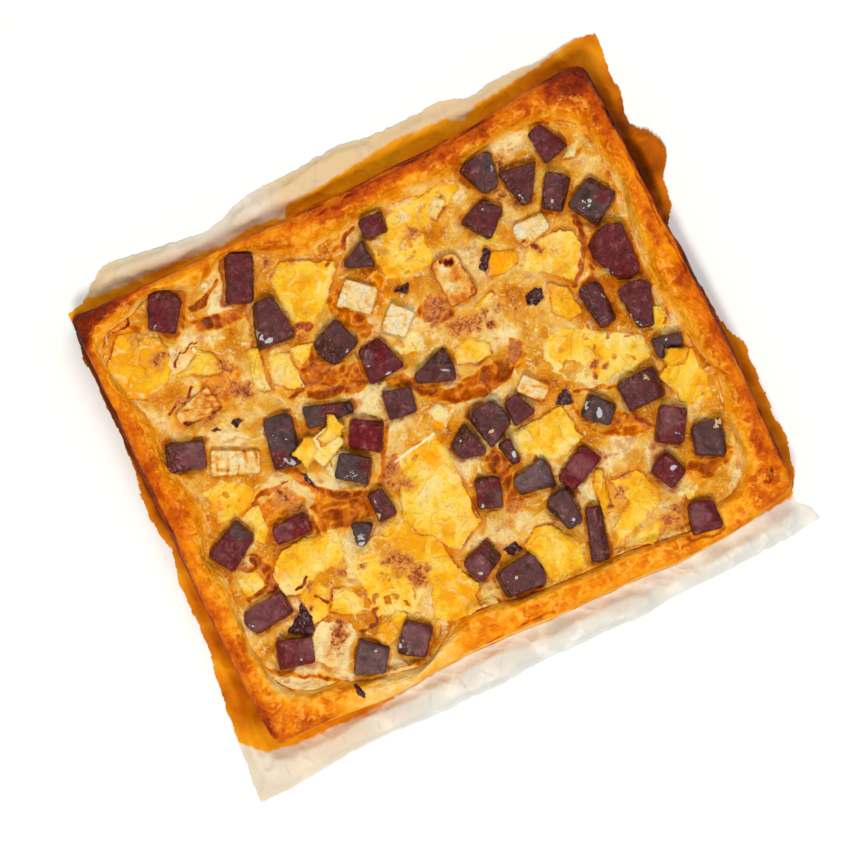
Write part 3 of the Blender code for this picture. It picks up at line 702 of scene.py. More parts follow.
STRIPS = (
    ([(-88, 97), (-80, 98.5), (-76, 101), (-71, 102.5)], 2.0, 1.3, 0.8),
    ([(-87, 88), (-82, 88.5), (-77, 87)], 1.8, 0.8, 1.1),
    ([(-112, 97), (-106, 94), (-100, 89)], 3.0, 0.3, 0.8),
    ([(-96, 92), (-92, 98), (-90, 105)], 3.0, 0.2, 0.75),
    ([(-50, 66), (-44, 65), (-38, 63)], 4.0, 0.4, 1.05),
    ([(-46, 44), (-42, 45), (-38, 41), (-41, 37), (-45, 39)], 1.6, 0.6, 0.9),
    ([(-54, 36), (-46, 34), (-38, 27), (-28, 25)], 1.8, 0.5, 0.95),
    ([(-6, 91), (-2, 95), (2, 96)], 3.0, 0.4, 0.95),
    ([(-16, 87), (-10, 91), (-4, 94)], 2.5, 0.3, 0.8),
    ([(-4, 15), (3, 3), (14, -5), (30, -8), (45, -3)], 2.2, 0.7, 0.8),
    ([(-3, 11), (6, 1), (18, -2), (34, 1)], 1.5, 0.5, 0.7),
    ([(36, -5), (46, -2), (53, 3)], 3.0, 0.6, 0.55),
    ([(-41, -24), (-34, -13), (-27, -1)], 3.0, 0.2, 0.65),
    ([(-38, -22), (-33, -22), (-30, -18)], 5.0, 0.2, 0.9),
    ([(15, -50), (17, -58), (12, -66)], 7.0, 0.3, 0.8),
    ([(-3, -52), (-6, -60)], 3.0, 0.2, 0.8),
    ([(108, 55), (105, 45), (104, 36)], 3.2, 0.8, 1.0),
    ([(104, 37), (98, 28), (90, 21)], 3.0, 0.6, 1.0),
    ([(106, 40), (103, 26), (96, 17)], 3.0, 0.5, 0.75),
    ([(127, -9), (126, -14), (123, -17)], 1.5, 0.7, 1.0),
    ([(62, -30), (64, -40), (67, -49)], 3.5, 0.2, 0.7),
    ([(66, -27), (78, -31), (88, -35)], 2.5, 0.2, 0.7),
    ([(84, -49), (90, -56), (95, -60)], 3.0, 0.3, 0.85),
    ([(-117, -30), (-113, -38), (-116, -47)], 5.0, 0.4, 0.9),
    ([(-128, -30), (-120, -34), (-110, -30)], 2.5, 0.2, 0.7),
    ([(-128, -48), (-120, -47), (-112, -48)], 3.0, 0.3, 1.0),
    ([(-135, -82), (-128, -90), (-116, -97), (-102, -106)], 2.5, 0.3, 0.65),
    ([(-84, -109), (-74, -112.5), (-63, -115), (-54, -109)], 2.5, 0.2, 0.5),
    ([(-79, 2), (-75, -8), (-70, -18)], 6.0, 0.3, 0.7),
    ([(-84, -20), (-80, -30), (-68, -35)], 3.5, 0.3, 0.75),
    ([(-103, -7), (-101, -3), (-84, -3)], 2.0, 0.4, 0.8),
    ([(-97, -61), (-93, -66), (-88, -62)], 1.2, 0.3, 1.2),
    ([(-103, -54), (-98, -50)], 1.4, 0.3, 1.3),
    ([(-83, -88), (-76, -86), (-73, -80)], 2.2, 0.4, 1.0),
    ([(-137, 92), (-131, 99)], 1.0, 0.2, 1.3),
    ([(-128, 105), (-123, 105), (-119, 108)], 1.5, 0.2, 1.4),
    ([(-110, 74), (-105, 78.5), (-98, 81.5), (-94, 80)], 0.9, 0.5, 1.3),
    ([(-122, 54), (-112, 58), (-106, 61)], 1.8, 0.3, 1.2),
    ([(-62, 33), (-52, 37), (-46, 34)], 2.5, 0.2, 0.7),
    ([(24, -30), (24, -44), (26, -48)], 2.0, 0.2, 0.8),
    ([(88, -113), (96, -120.5), (105, -121)], 2.5, 0.2, 0.7),
    ([(86, -108), (84, -116), (88, -121)], 2.0, 0.2, 0.6),
    ([(-14, -106), (-4, -109), (8, -108)], 3.5, 0.2, 0.85),
)
BROWNED_SPOTS = (
    (-115, 81, 4.5, 0.9), (-111, 83, 3, 0.8), (-120, 95, 5, 0.5), (-113, 57, 3, 1.0), (-86, 64, 6, 0.75),
    (-83, 48, 5, 1.1), (-95, 54, 7, 0.6), (-88, 55, 5, 0.6), (-104, 42, 4, 0.8), (-88, -10, 6, 0.85),
    (-85, -18, 4, 0.8), (-90, -6, 4, 0.9), (-50, -65, 6, 0.8), (-46, -75, 6, 1.0), (-56, -61, 4, 0.7),
    (-40, -74, 3, 0.8), (-95, -84, 6, 0.95), (-92, -79, 4, 0.8), (-98, -87, 4, 0.9), (-79, -56, 3, 0.9),
    (-69, -58, 2.5, 0.7), (-98, -55, 3, 0.7), (-102, -66, 1.6, 1.2), (-33, -20, 5, 0.9), (-30, -30, 5, 0.6),
    (-37, -26, 4, 0.7), (24, 44, 6, 0.9), (19, 38, 4, 0.9), (31, 28, 6, 0.9), (26, 30, 4, 0.8),
    (37, 27, 5, 0.8), (44, 24, 4, 1.1), (52, 29, 4, 0.6), (29, 81, 3.5, 0.8), (70, -76, 4, 0.8),
    (64, -83, 4, 0.6), (57.5, -87, 1.8, 1.2), (86, -102, 4, 0.9), (80, -106, 4, 0.8), (84, -109, 4, 0.7),
    (82, 46, 3, 1.3), (81, -19, 2.6, 1.0), (86, -22, 2.4, 0.9), (80, -25, 2, 1.2), (92, -20, 2, 0.7),
    (48, 5, 5, 0.6), (44, 30, 3, 0.7), (60, 22, 5, 0.5), (12, -66, 4, 0.7), (6, -72, 4, 0.5),
    (86, 96, 4, 0.6), (84, 91, 4, 1.0), (77, 78, 4, 0.8), (82, 72, 4, 0.8), (-43, 101, 4, 0.7),
    (124, -57, 2, 0.7), (-124, -31, 3, 0.6), (90, 40, 9, 0.3), (84, 32, 7, 0.3), (-99, -90, 9, 0.4),
)
YOLK_SPOTS = (
    (-13, -24, 5, 1.0), (-120, 47, 5, 0.8), (-107, -2, 7, 0.7), (-120, 4, 5, 0.6), (-107, -43, 5, 0.7),
    (82, -22, 3, 1.0), (62, 49, 6, 0.8), (-3, -12, 2.5, 1.3), (80, 24, 4, 0.7), (-62, 42, 5, 0.5),
    (14, -88, 5, 0.6), (-48, -50, 5, 0.7), (-36, -100, 8, 0.6), (-10, -60, 7, 0.5), (10, 70, 7, 0.4),
)
CREAM_SPOTS = (
    (92, 98, 12, 1.0), (104, 92, 7, 0.9), (127, 76, 7, 0.7), (-108, 86, 7, 0.9), (-96, 85, 6, 0.9),
    (-84, 79, 6, 0.7), (-125, 57, 7, 0.6), (-112, 37, 5, 0.6), (-66, -14, 6, 1.0), (-64, -44, 7, 0.9),
    (-2, -38, 7, 1.0), (14, -73, 8, 0.5), (-10, -76, 7, 0.7), (4, 54, 5, 0.9), (62, -64, 7, 1.0),
    (76, -62, 8, 1.2), (52, 14, 7, 0.3), (50, 76, 7, 0.8), (78, -62, 8, 0.7), (-36, 8, 7, 0.8), (-72, 36, 8, 0.6),
    (92, -76, 8, 0.7), (124, -100, 7, 0.6), (-76, 90, 5, 0.6), (30, 70, 8, 0.4), (-125, -45, 7, 0.5),
    (-98, 30, 6, 0.3), (60, 80, 7, 0.5), (44, -62, 6, 0.7), (2, -104, 7, 0.6), (-120, 20, 6, 0.4),
)
DARK_SCRAPS = (
    ([(-118, -71), (-108, -64), (-105, -60), (-103, -70), (-105, -77), (-111, -76)], 4.0),
    ([(58, 59), (61, 56), (54, 46), (51, 50)], 4.0),
    ([(7, 60), (17, 60), (13, 54)], 3.0),
    ([(64, 23), (66, 27), (72, 29), (76, 27), (74, 22), (69, 20)], 3.5),
    ([(55, -29), (60, -24), (64, -23), (64, -32), (60, -32)], 3.5),
    ([(-107, 38), (-103, 38), (-101, 35.5), (-106, 35.5)], 1.2),
    ([(-97, 37), (-92, 38), (-89, 35), (-94, 33)], 1.4),
    ([(-77, -1), (-73, -3), (-71, -14), (-73, -12)], 1.6),
    ([(-2, -82), (6, -81), (8, -87), (0, -87)], 2.0),
)


# %% [markdown]
# One function turns these lists into values for any set of points, so the filling, the slices and
# the crust agree where they meet. Places are pushed about by a little noise first, because melted
# edges wander.

# %% Reading the layout at any place


def wandering(flat, distance, patch, seed):
    """Places pushed about by a noise."""
    return flat + distance * np.column_stack([noise(flat, patch, seed), noise(flat, patch, seed + 1)])


def read_layout(flat):
    """Heights and masks at places seen from above."""
    ragged = wandering(flat, 1.1, 5, 61)
    fields = ("raised", "yolk", "onion", "strand", "spots", "cream", "scrap")
    found = {field: np.zeros(len(flat)) for field in fields}
    found["yellow"] = 0.42 + 0.3 * noise(flat, 15, 66)
    for outline, dark in ONION_PUDDLES:
        gap = outside(ragged, np.array(outline, float), reach=5.0)
        found["onion"] = np.maximum(found["onion"], dark * smooth(2.0, -1.5, gap))
    for points, strip_width, height, dark in STRIPS:
        gap = from_line(ragged, curve_through(points, 10)) / (strip_width / 2)
        found["raised"] += height * smooth(1.1, 0.1, gap)
        found["strand"] = np.maximum(found["strand"], dark * smooth(1.6, 0.5, gap))
    for field, rows in (("spots", BROWNED_SPOTS), ("yolk", YOLK_SPOTS), ("cream", CREAM_SPOTS)):
        for x, y, radius, strength in rows:
            gap = np.hypot(ragged[:, 0] - x, ragged[:, 1] - y) / radius
            found[field] = np.maximum(found[field], strength * smooth(1.6, 0.1, gap))
    found["yellow"] -= 0.5 * found["cream"]
    for outline, thickness in DARK_SCRAPS:
        on_scrap = smooth(0.4, -0.8, outside(wandering(flat, 0.5, 2, 74), np.array(outline, float), reach=3.0))
        found["raised"] += thickness * on_scrap
        found["scrap"] = np.maximum(found["scrap"], on_scrap)
    return found


# %% [markdown]
# ## Puff pastry
#
# The case is a folded edge of puff pastry round a thin base. Its outer side shows the leaves of the
# dough, its top is puffed and browned, and its inner side, which the filling kept moist, stays pale.
# It is lofted in rings round the tart: rows up the outer side, over the top and down into the
# filling. Each leaf pokes out by its own uneven amount, and the glazed skin wrinkles along the rim.

# %% The rim of the pastry case
LEAF_PITCH = 1.5
SIDE_ROWS = 34
TOP_ROWS = 44
SIDE_TOP = 0.86
DIE_STANDS = 3.0
SIDE_LEAN = [(0.0, 0.0), (0.09, 0.5), (0.15, -0.1), (0.26, 0.1), (0.33, -0.6), (0.52, -1.0), (0.86, -1.4)]
TOP_PROFILE = [(0.09, 0.87), (0.18, 0.965), (0.30, 1.0), (0.42, 1.005), (0.56, 0.98), (0.70, 0.88)]
TOP_PROFILE += [(0.80, 0.75), (0.91, 0.58), (1.04, 0.42)]
SPLITS = (
    [(-22, 116), (0, 114.5), (28, 115.5), (50, 113.5), (66, 113)],
    [(30, 118), (48, 115.5), (66, 114), (96, 116.5)],
    [(-10, 111), (10, 112.5), (26, 112)],
    [(52, 112), (56, 112.8), (60, 112.5)],
    [(-30, -121), (-10, -120.5), (8, -121.5)],
    [(133, -104), (128, -108), (134, -112), (138, -106)],
    [(144, 96), (144, 70), (143.5, 30), (144, 0)],
)

width = np.linalg.norm(crust_loop - well_loop, axis=1)
away = (crust_loop - well_loop) / width[:, None]
along = np.cumsum(np.linalg.norm(np.roll(crust_loop, -1, axis=0) - crust_loop, axis=1))
puffed = FILLING_EDGE + (RIM_HEIGHT - FILLING_EDGE) * (0.35 + 0.65 * smooth(0, 13, width))
puffed += 0.7 * noise(crust_loop, 20, 41)

rings = []
shares = []
for step in range(SIDE_ROWS):
    rise = SIDE_TOP * step / SIDE_ROWS
    height = PASTRY_BASE + rise * (puffed - PASTRY_BASE)
    leaf = height / LEAF_PITCH + 0.5 * noise(crust_loop, 34, 42)
    poke = noise(np.column_stack([crust_loop, np.floor(leaf) * 23.0]), 13, 43)
    groove = np.abs(2 * (leaf % 1) - 1) ** 5
    reach = np.interp(rise, *np.transpose(SIDE_LEAN)) + 0.6 * poke - 0.75 * groove
    rings.append(np.column_stack([crust_loop + away * reach[:, None], height]))
    shares.append(np.full(RIM_COLUMNS, rise - 1))
near_bottom = smooth(-96, -108, crust_loop[:, 1])
near_bottom *= 1 - 0.9 * smooth(-40, -55, crust_loop[:, 0]) * smooth(-125, -105, crust_loop[:, 0])
for share in np.linspace(TOP_PROFILE[0][0], TOP_PROFILE[-1][0], TOP_ROWS):
    later = share - 0.2 * near_bottom * smooth(0.15, 0.5, share) * smooth(1.04, 0.8, share)
    rise = np.interp(later, *np.transpose(TOP_PROFILE))
    from_base = PASTRY_BASE + rise * (puffed - PASTRY_BASE)
    from_filling = FILLING_EDGE - 1 + (puffed - FILLING_EDGE + 1) * (rise - TOP_PROFILE[-1][1]) / 0.58
    inner = smooth(0.45, 0.85, later)
    height = (1 - inner) * from_base + inner * from_filling
    rings.append(np.column_stack([crust_loop + (well_loop - crust_loop) * share, height]))
    shares.append(np.full(RIM_COLUMNS, share))
rim = np.vstack(rings)
rim_share = np.concatenate(shares)
rows = SIDE_ROWS + TOP_ROWS
round_the_rim = np.column_stack([np.tile(along, rows), rim_share * np.tile(width, rows), rim[:, 2] * 0.6])
on_top = smooth(0.0, 0.15, rim_share)
outer_half = smooth(0.62, 0.3, rim_share)
wrinkles = ridges(round_the_rim, (16, 2.6, 4), 46, 3.0) * (0.4 + 0.6 * outer_half)
blisters = 0.42 * noise(rim, 8, 44) + 0.2 * noise(rim, 2.6, 45) - 0.4 * wrinkles
flakes = 2.4 * noise(round_the_rim, (18, 7, 6), 49)
flake_share = flakes - np.floor(flakes)
flake_edge = smooth(0.14, 0.02, flake_share) * smooth(-0.6, 0.2, noise(rim, 12, 50))
split = np.zeros(len(rim))
for points in SPLITS:
    gap = from_line(rim[:, :2] + 0.5 * noise(rim, 4, 47)[:, None], curve_through(points, 12))
    split = np.maximum(split, smooth(0.9, 0.2, gap) * smooth(-0.5, 0.2, noise(rim, 9, 48)))
rim[:, 2] += on_top * (blisters + 0.5 * flake_share - 0.35 * flake_edge - 0.9 * split)
rim[:, 2] += 0.8 * smooth(0.55, 0.85, rim_share) * noise(rim, 6, 61)
rim[:, 2] -= 0.6 * np.clip(rim[:, 2] - (HIGHEST - 1), 0, None)
stained = np.zeros(len(rim))
for name in beetroot_names:
    gap = outside(rim[:, :2], shadow_outline(name), reach=3.0) + 0.6 * noise(rim, 4, 62)
    pressed = on_top * smooth(1.5, 0.2, gap)
    bed = node_places(name)[:, 2].max() - DIE_STANDS
    rim[:, 2] -= pressed * np.clip(rim[:, 2] - bed, 0, None)
    stained = np.maximum(stained, pressed)
print("rim up to", round(rim[:, 2].max(), 1), "mm high")

# %% [markdown]
# Most of the pastry's colour follows how hot each place got: the corners and the outer top edge of
# the short sides are darkest, the top is golden, and the inner side is cream. The outer side is a
# little darker, but paler along the bottom side. A few paler patches on the inner side are painted
# light where it lies in shade. One value from 0 to 1 says how browned a point is, and a ramp of
# colours from raw dough to burnt turns it into the crust. Blisters stand closer to the heat, so
# they add to it.

# %% How browned the pastry is
# Places where the inner side lies flatter and stays cream, partly its own colour and partly painted
# light where it is shaded: x, y, radius
CREAM_SLOPES = ((-74, -112, 26), (-50, -106, 16), (98, -114, 20), (-104, 110, 18), (-88, 110, 18))
CREAM_SLOPES += ((92, 98, 10), (120, 88, 10), (-120, -98, 20), (122, -98, 14), (40, 103, 10), (-20, 104, 12))
# Places that took more heat than their side, or less, and a few paler ones on the inner side that
# are painted light where it is shaded: x, y, half length along x and y, how much
HEAT_PATCHES = (
    (-149, -75, 5, 60, 0.11), (-143, 36, 5, 18, 0.1), (-143, 94, 8, 14, -0.08), (-137, -25, 6, 25, -0.06),
    (-137, 30, 5, 25, -0.05), (132, -30, 5, 90, -0.1), (139, 20, 4, 40, 0.07), (146, -15, 5, 38, 0.08),
    (40, -112.5, 55, 2.5, -0.12), (-143, -75, 4, 60, 0.05), (141, 90, 5, 12, 0.07),
    (145, -85, 5, 14, -0.08), (42, 111, 55, 4, 0.1), (-45, 116, 30, 8, -0.13), (-88, 113, 14, 7, -0.13),
    (35, 120, 80, 5, -0.05), (-113, -121, 22, 5, 0.08), (87, -121, 12, 5, 0.05), (-126, 113, 12, 6, -0.05),
)
x, y = rim[:, 0], rim[:, 1]
short_side = smooth(4, -1, np.abs(146 - np.abs(x))) * (1 - 0.7 * smooth(-10, -60, y) * (x < 0))
top_side = smooth(98, 112, y)
bottom_side = smooth(-98, -112, y)
left_corner = smooth(42, 12, np.hypot(x + 146, y - 122)) * smooth(0.75, 0.4, rim_share)
right_corner = smooth(34, 8, np.hypot(x - 143, y - 118)) * smooth(0.8, 0.5, rim_share)
left_side = smooth(-124, -132, x) * smooth(-35, -5, y)
pale_leaf = smooth(-110, -116, y) * smooth(-38, -55, x) * smooth(-120, -100, x)
browned = 0.44 + 0.05 * top_side - 0.04 * bottom_side + 0.02 * smooth(-100, 100, y)
browned += 0.06 * left_side * smooth(0.75, 0.5, rim_share) * (0.8 + 0.5 * noise(rim, 14, 58))
browned -= 0.3 * pale_leaf * smooth(-0.1, 0.05, rim_share)
browned += 0.07 * noise(rim, 16, 51) + 0.07 * noise(rim, 6, 52) + 0.05 * blisters + 0.05 * wrinkles
browned += 0.07 * smooth(120, 132, x) * smooth(-20, -60, y)
browned -= 0.08 * smooth(-122, -130, x) * smooth(-35, -60, y) * smooth(-104, -92, y)
browned -= smooth(0.62, 1.0, rim_share) * (0.26 + 0.12 * noise(rim, 8, 55)) * (1 - 0.9 * bottom_side)
browned += 0.42 * left_corner + 0.3 * right_corner * (0.85 + 0.4 * noise(rim, 8, 54))
outer_side = 1 - smooth(-0.25, 0.1, rim_share)
# The outer side is browned a little more, and much less along the bottom side
browned += outer_side * (0.10 - bottom_side * (0.3 + 0.12 * noise(rim, (30, 4, 4), 57)))
# The outer top edge of the short sides is darker, nearly black
burnt_leaf = short_side * smooth(0.15, 0.06, rim_share)
scorched = burnt_leaf * (0.75 + 0.25 * smooth(-0.25, 0.0, rim_share))
browned += scorched * (0.4 + 0.28 * noise(rim, 11, 56)) + 0.2 * split
browned += 0.15 * smooth(12, 3, np.hypot(x + 154, y + 106))
browned += 0.1 * smooth(34, 12, np.hypot(x + 136, y + 114)) + 0.03 * smooth(120, 132, x) * smooth(-50, -70, y)
browned += on_top * (0.06 * (flake_share - 0.5) + 0.05 * flake_edge)
browned += 0.16 * stained
# Browner and paler patches; the paler ones on the inner side are partly painted light
for patch_x, patch_y, half_x, half_y, hotter in HEAT_PATCHES:
    browned += hotter * smooth(1.3, 0.5, np.hypot((x - patch_x) / half_x, (y - patch_y) / half_y))
cream_slope = np.zeros(len(rim))
for slope_x, slope_y, radius in CREAM_SLOPES:
    cream_slope = np.maximum(cream_slope, smooth(1.0, 0.4, np.hypot(x - slope_x, y - slope_y) / radius))
browned -= 0.22 * cream_slope * smooth(0.2, 0.5, rim_share) * (0.8 + 0.5 * noise(rim, 5, 59))
flaky = smooth(0.0, 0.4, rim_share) * (0.3 + 0.7 * np.maximum(bottom_side, smooth(0.3, 0.6, rim_share)))
browned = np.minimum(browned, 0.8 + 0.26 * smooth(0.22, 0.1, rim_share) * smooth(122, 108, y) + 0.12 * split)

# %% Puff pastry material
# Egg-washed puff pastry, from cream where it is moist through gold to burnt sugar
crust, shader = new_material("glazed baked puff pastry")
fleck = grain(crust, 2.0, roughness=0.6)
specks = mask_from(crust, [(grain(crust, 1.7, detail=2.0, low=0.58, high=0.72), 1.0)], 0.0, 1.0)
leaves = creases(crust, 9.0, detail=4.0, swirl=1.5)
cracks = mask_from(crust, [(creases(crust, 8.0, detail=2.0, swirl=1.2), 1.0)], 0.75, 1.1)
scuffs = grain(crust, 4.0, roughness=0.62, swirl=0.8, low=0.4, high=0.6)
where_flaky = add_node(crust, "Attribute", "Fac", {}, attribute_name="flaky")
flaking = add_node(crust, "Math", 0, {0: scuffs, 1: where_flaky}, operation="MULTIPLY")
heat = [("browned", 1.0), (fleck, 0.05), (leaves, -0.05), (flaking, 0.04), (specks, 0.06), (cracks, 0.06)]
pastry_stops = [(0.04, "#f3cd80"), (0.20, "#f2a92a"), (0.36, "#eb9004"), (0.48, "#db7400")]
pastry_stops += [(0.60, "#bf5100"), (0.74, "#922e02"), (0.88, "#5a1906"), (1.0, "#240d08")]
baked = add_node(crust, "ValToRGB", 0, {"Fac": mask_from(crust, heat, 0.0, 1.0)}, stops=pastry_stops)
pale_flakes = mask_from(crust, [(flaking, -1.0), ("browned", -1.2), (fleck, 0.2)], -0.4, 0.6, 0.65)
connect(crust, layered(crust, baked, [(pale_flakes, "#f3b142")]), shader.inputs["Base Color"])
shader.inputs["Roughness"].default_value = 0.45
shader.inputs["Specular IOR Level"].default_value = 0.06
skin = mask_from(crust, [(fleck, 0.4), (leaves, 0.4), (flaking, 0.3), (cracks, -0.5)], -1.0, 1.0)
relief = add_node(crust, "Bump", 0, {"Height": skin, "Distance": 0.5 * MM})
connect(crust, relief, shader.inputs["Normal"])

rim_faces = grid_faces(rows, RIM_COLUMNS, closed=True)
to_piece("pastry_rim", rim, rim_faces, crust, "pastry", "pastry_case", browned=browned, flaky=flaky)

# %% [markdown]
# ## Melted cheese, onion and sauce
#
# The surface of the filling is one sheet of points, gently lumpy. The layout gives each point its
# height and its masks. Sauce pools beside each die of beetroot, so the outlines of those solids are
# read too.

# %% The surface of the filling
FILLING_STEP = 0.8
FLAT_SHARE = 0.3
WELL = well_loop[::6]


def stood_share(flat, points, standing):
    """How much of its thickness a slice keeps at each place: 1 on the side that stands up."""
    if standing is None:
        return np.full(len(flat), FLAT_SHARE)
    points = np.array(points, float)
    side = np.array([math.cos(math.radians(standing)), math.sin(math.radians(standing))])
    middle = (points.max(axis=0) + points.min(axis=0)) / 2
    across = (flat - middle) @ side
    return FLAT_SHARE + (1 - FLAT_SHARE) * smooth(-0.8, 0.6, across / ((points - middle) @ side).max())


def filling_level(flat):
    """The height of the filling without onion, at places seen from above."""
    from_rim = -outside(flat, WELL)
    level = FILLING_EDGE + (FILLING_MIDDLE - FILLING_EDGE) * smooth(-2, 6, from_rim)
    climb = 1.4 + 1.8 * smooth(-80, -100, flat[:, 1]) + 1.2 * noise(flat, 7, 74)
    level += climb * smooth(5, 0, from_rim) * smooth(-1.6, 0, from_rim)
    return level + 0.6 * noise(flat, 18, 63) + 0.55 * noise(flat, 6, 64)


spread, spread_faces = field_mesh(WELL, FILLING_STEP, 1.6, snapped=False)
layout = read_layout(spread)
onion = np.maximum(layout["onion"], layout["strand"])
curls = ridges(spread * (1.0, 1.6), 7, 70)
surface = filling_level(spread) + 0.3 * noise(spread, 2.6, 65)
surface += layout["raised"] * 0.85 * smooth(-1, 3, -outside(spread, WELL))
surface += np.clip(layout["onion"], 0, 1) * (1.1 * curls - 0.9)
juice = np.zeros(len(spread))
edge_wander = 1.0 * noise(spread, 5, 71)
juiciness = 0.45 + 0.7 * noise(spread, 9, 72)
puddle = np.clip(2.4 + 4.0 * noise(spread, 15, 73), 1.0, 6.0)
for name in beetroot_names + goat_names:
    gap = outside(spread, shadow_outline(name), reach=9.0) + edge_wander
    if name in beetroot_names:
        juice = np.maximum(juice, juiciness * smooth(puddle, 0.0, gap))
        juice = np.maximum(juice, 0.7 * smooth(1.6, 0.3, gap))
    else:
        juice = np.maximum(juice, 0.4 * smooth(1.6, 0.0, gap))
    surface -= 0.4 * smooth(1.6, 0.0, gap)
# Painted shade beside each slice's crisp side, partly gathered sauce, in the juice colours
for points, thickness, yellowness, standing in MELTED_SLICES:
    gap = outside(spread, np.array(points, float), reach=4.0) + 0.5 * edge_wander
    foot = smooth(2.0, 0.2, gap) * smooth(0.45, 0.9, stood_share(spread, points, standing))
    juice = np.maximum(juice, 0.65 * foot)
print("filling from", round(surface.min(), 1), "to", round(surface.max(), 1), "mm high")

# %% [markdown]
# The filling's material lays one colour over another: cheese in folds and wisps, amber onion, the
# juice beside the beetroot, then the crumbly browned spots, each with a soft golden halo. Slices
# melted smoother and more yellow than the cheese between them, so they have their own colours.

# %% Melted cheese material
# Goat cheese melted to cream and egg yellow, amber onion and beetroot juice, with painted highlights and shade
cheese, shader = new_material("melted browned goat cheese")
fine = grain(cheese, 1.3, detail=4.0, roughness=0.6)
wisps = grain(cheese, 4.0, roughness=0.55, swirl=0.6)
clumps = grain(cheese, 2.4, detail=3.0, swirl=0.8)
coarse = grain(cheese, 9.0, detail=3.0, swirl=0.4)
tint = grain(cheese, 18.0, detail=3.0)
folds = creases(cheese, 9.0, detail=2.5, swirl=0.8)
fibres = creases(cheese, 3.0, detail=3.0, swirl=1.2)
tone = mask_from(cheese, [("yellow", 1.0), (coarse, 0.34), (wisps, 0.2)], 0.0, 1.0)

slice_stops = [(0.0, "#e8d498"), (0.25, "#edd178"), (0.5, "#efc646"), (0.75, "#eeb41e"), (1.0, "#e69a0a")]
melted = layered(
    cheese,
    add_node(cheese, "ValToRGB", 0, {"Fac": tone}, stops=slice_stops),
    [
        # Paler on the crests of folds and wisps and darker amber in their hollows, as the bump is: partly the cheese's
        # tone, partly painted highlight and painted shade
        (mask_from(cheese, [(folds, 0.7), (wisps, 0.6), (tint, -0.3)], 0.1, 1.0, 0.7), "#f8e3a4"),
        (mask_from(cheese, [(wisps, -0.8), (coarse, -0.5)], 0.2, 1.1, 0.85), "#e0a01a"),
        (mask_from(cheese, [(fibres, 0.6), (fine, 0.5)], 0.3, 1.1, 0.4), "#fdeec0"),
        (mask_from(cheese, [(fine, -0.6), (fibres, -0.4), (tint, 0.3)], 0.2, 1.1, 0.6), "#c98a2c"),
    ],
)
simmered_stops = [(0.0, "#e8d094"), (0.3, "#e2b14a"), (0.55, "#d88e10"), (0.8, "#c26a04"), (1.0, "#a45002")]
simmered = layered(
    cheese,
    add_node(cheese, "ValToRGB", 0, {"Fac": tone}, stops=simmered_stops),
    [
        (mask_from(cheese, [(tint, 1.0), (clumps, 0.3)], 0.3, 1.1, 0.5), "#ac8220"),
        # Darker in the hollows of wisps and folds and paler on their crests, as the bump is: partly the cheese's tone,
        # partly painted shade and painted highlight
        (mask_from(cheese, [(wisps, -1.0), (folds, -0.4), (fine, 0.3)], 0.0, 1.0, 0.8), "#c2720e"),
        (mask_from(cheese, [(folds, 0.6), (wisps, 0.8), (fine, 0.4)], 0.2, 1.0, 0.9), "#f5e0a8"),
        (mask_from(cheese, [(clumps, -0.8), (coarse, -0.5)], 0.4, 1.2, 0.6), "#b8641e"),
        (mask_from(cheese, [(fibres, 0.6), (fine, 0.6)], 0.2, 1.0, 0.6), "#fbe9c0"),
    ],
)
onion_mask = mask_from(cheese, [("onion", 1.0), (fine, 0.1), (coarse, 0.2)], 0.2, 0.45)
dark = mask_from(cheese, [("onion", 1.0), (folds, -0.35), (coarse, 0.25), (clumps, 0.12)], 0.1, 1.4)
sauce_stops = [(0.0, "#f2a930"), (0.22, "#e68f06"), (0.45, "#c66400"), (0.7, "#963a00"), (1.0, "#581600")]
sauce = add_node(cheese, "ValToRGB", 0, {"Fac": dark}, stops=sauce_stops)
# Juice beside the beetroot, and painted shade in the same colours at the foot of crisp slice sides
juice_mask = mask_from(cheese, [("juice", 1.0), (fine, 0.15), (wisps, 0.3)], 0.15, 0.9, 0.9)
juice_stops = [(0.0, "#e4900e"), (0.5, "#c66408"), (1.0, "#8e3a02")]
juice_colour = add_node(cheese, "ValToRGB", 0, {"Fac": juice_mask}, stops=juice_stops)
spotted = mask_from(cheese, [("spots", 1.0)], 0.1, 0.4)
crumbs = mask_from(cheese, [("spots", 1.0), (clumps, 0.45), (fine, 0.2), (folds, -0.2)], 0.2, 0.95, spotted)
toasting = mask_from(cheese, [("spots", 0.8), (clumps, 0.5), (fibres, -0.3), (fine, 0.2)], -0.1, 1.4)
toast_stops = [(0.0, "#e2a05a"), (0.3, "#ca7a3a"), (0.55, "#ae5f2e"), (0.8, "#884226"), (1.0, "#5e2a1a")]
toast = add_node(cheese, "ValToRGB", 0, {"Fac": toasting}, stops=toast_stops)
scrap_tone = mask_from(cheese, [(fine, 0.4), (clumps, 0.5), (fibres, 0.3)], -0.6, 0.6)
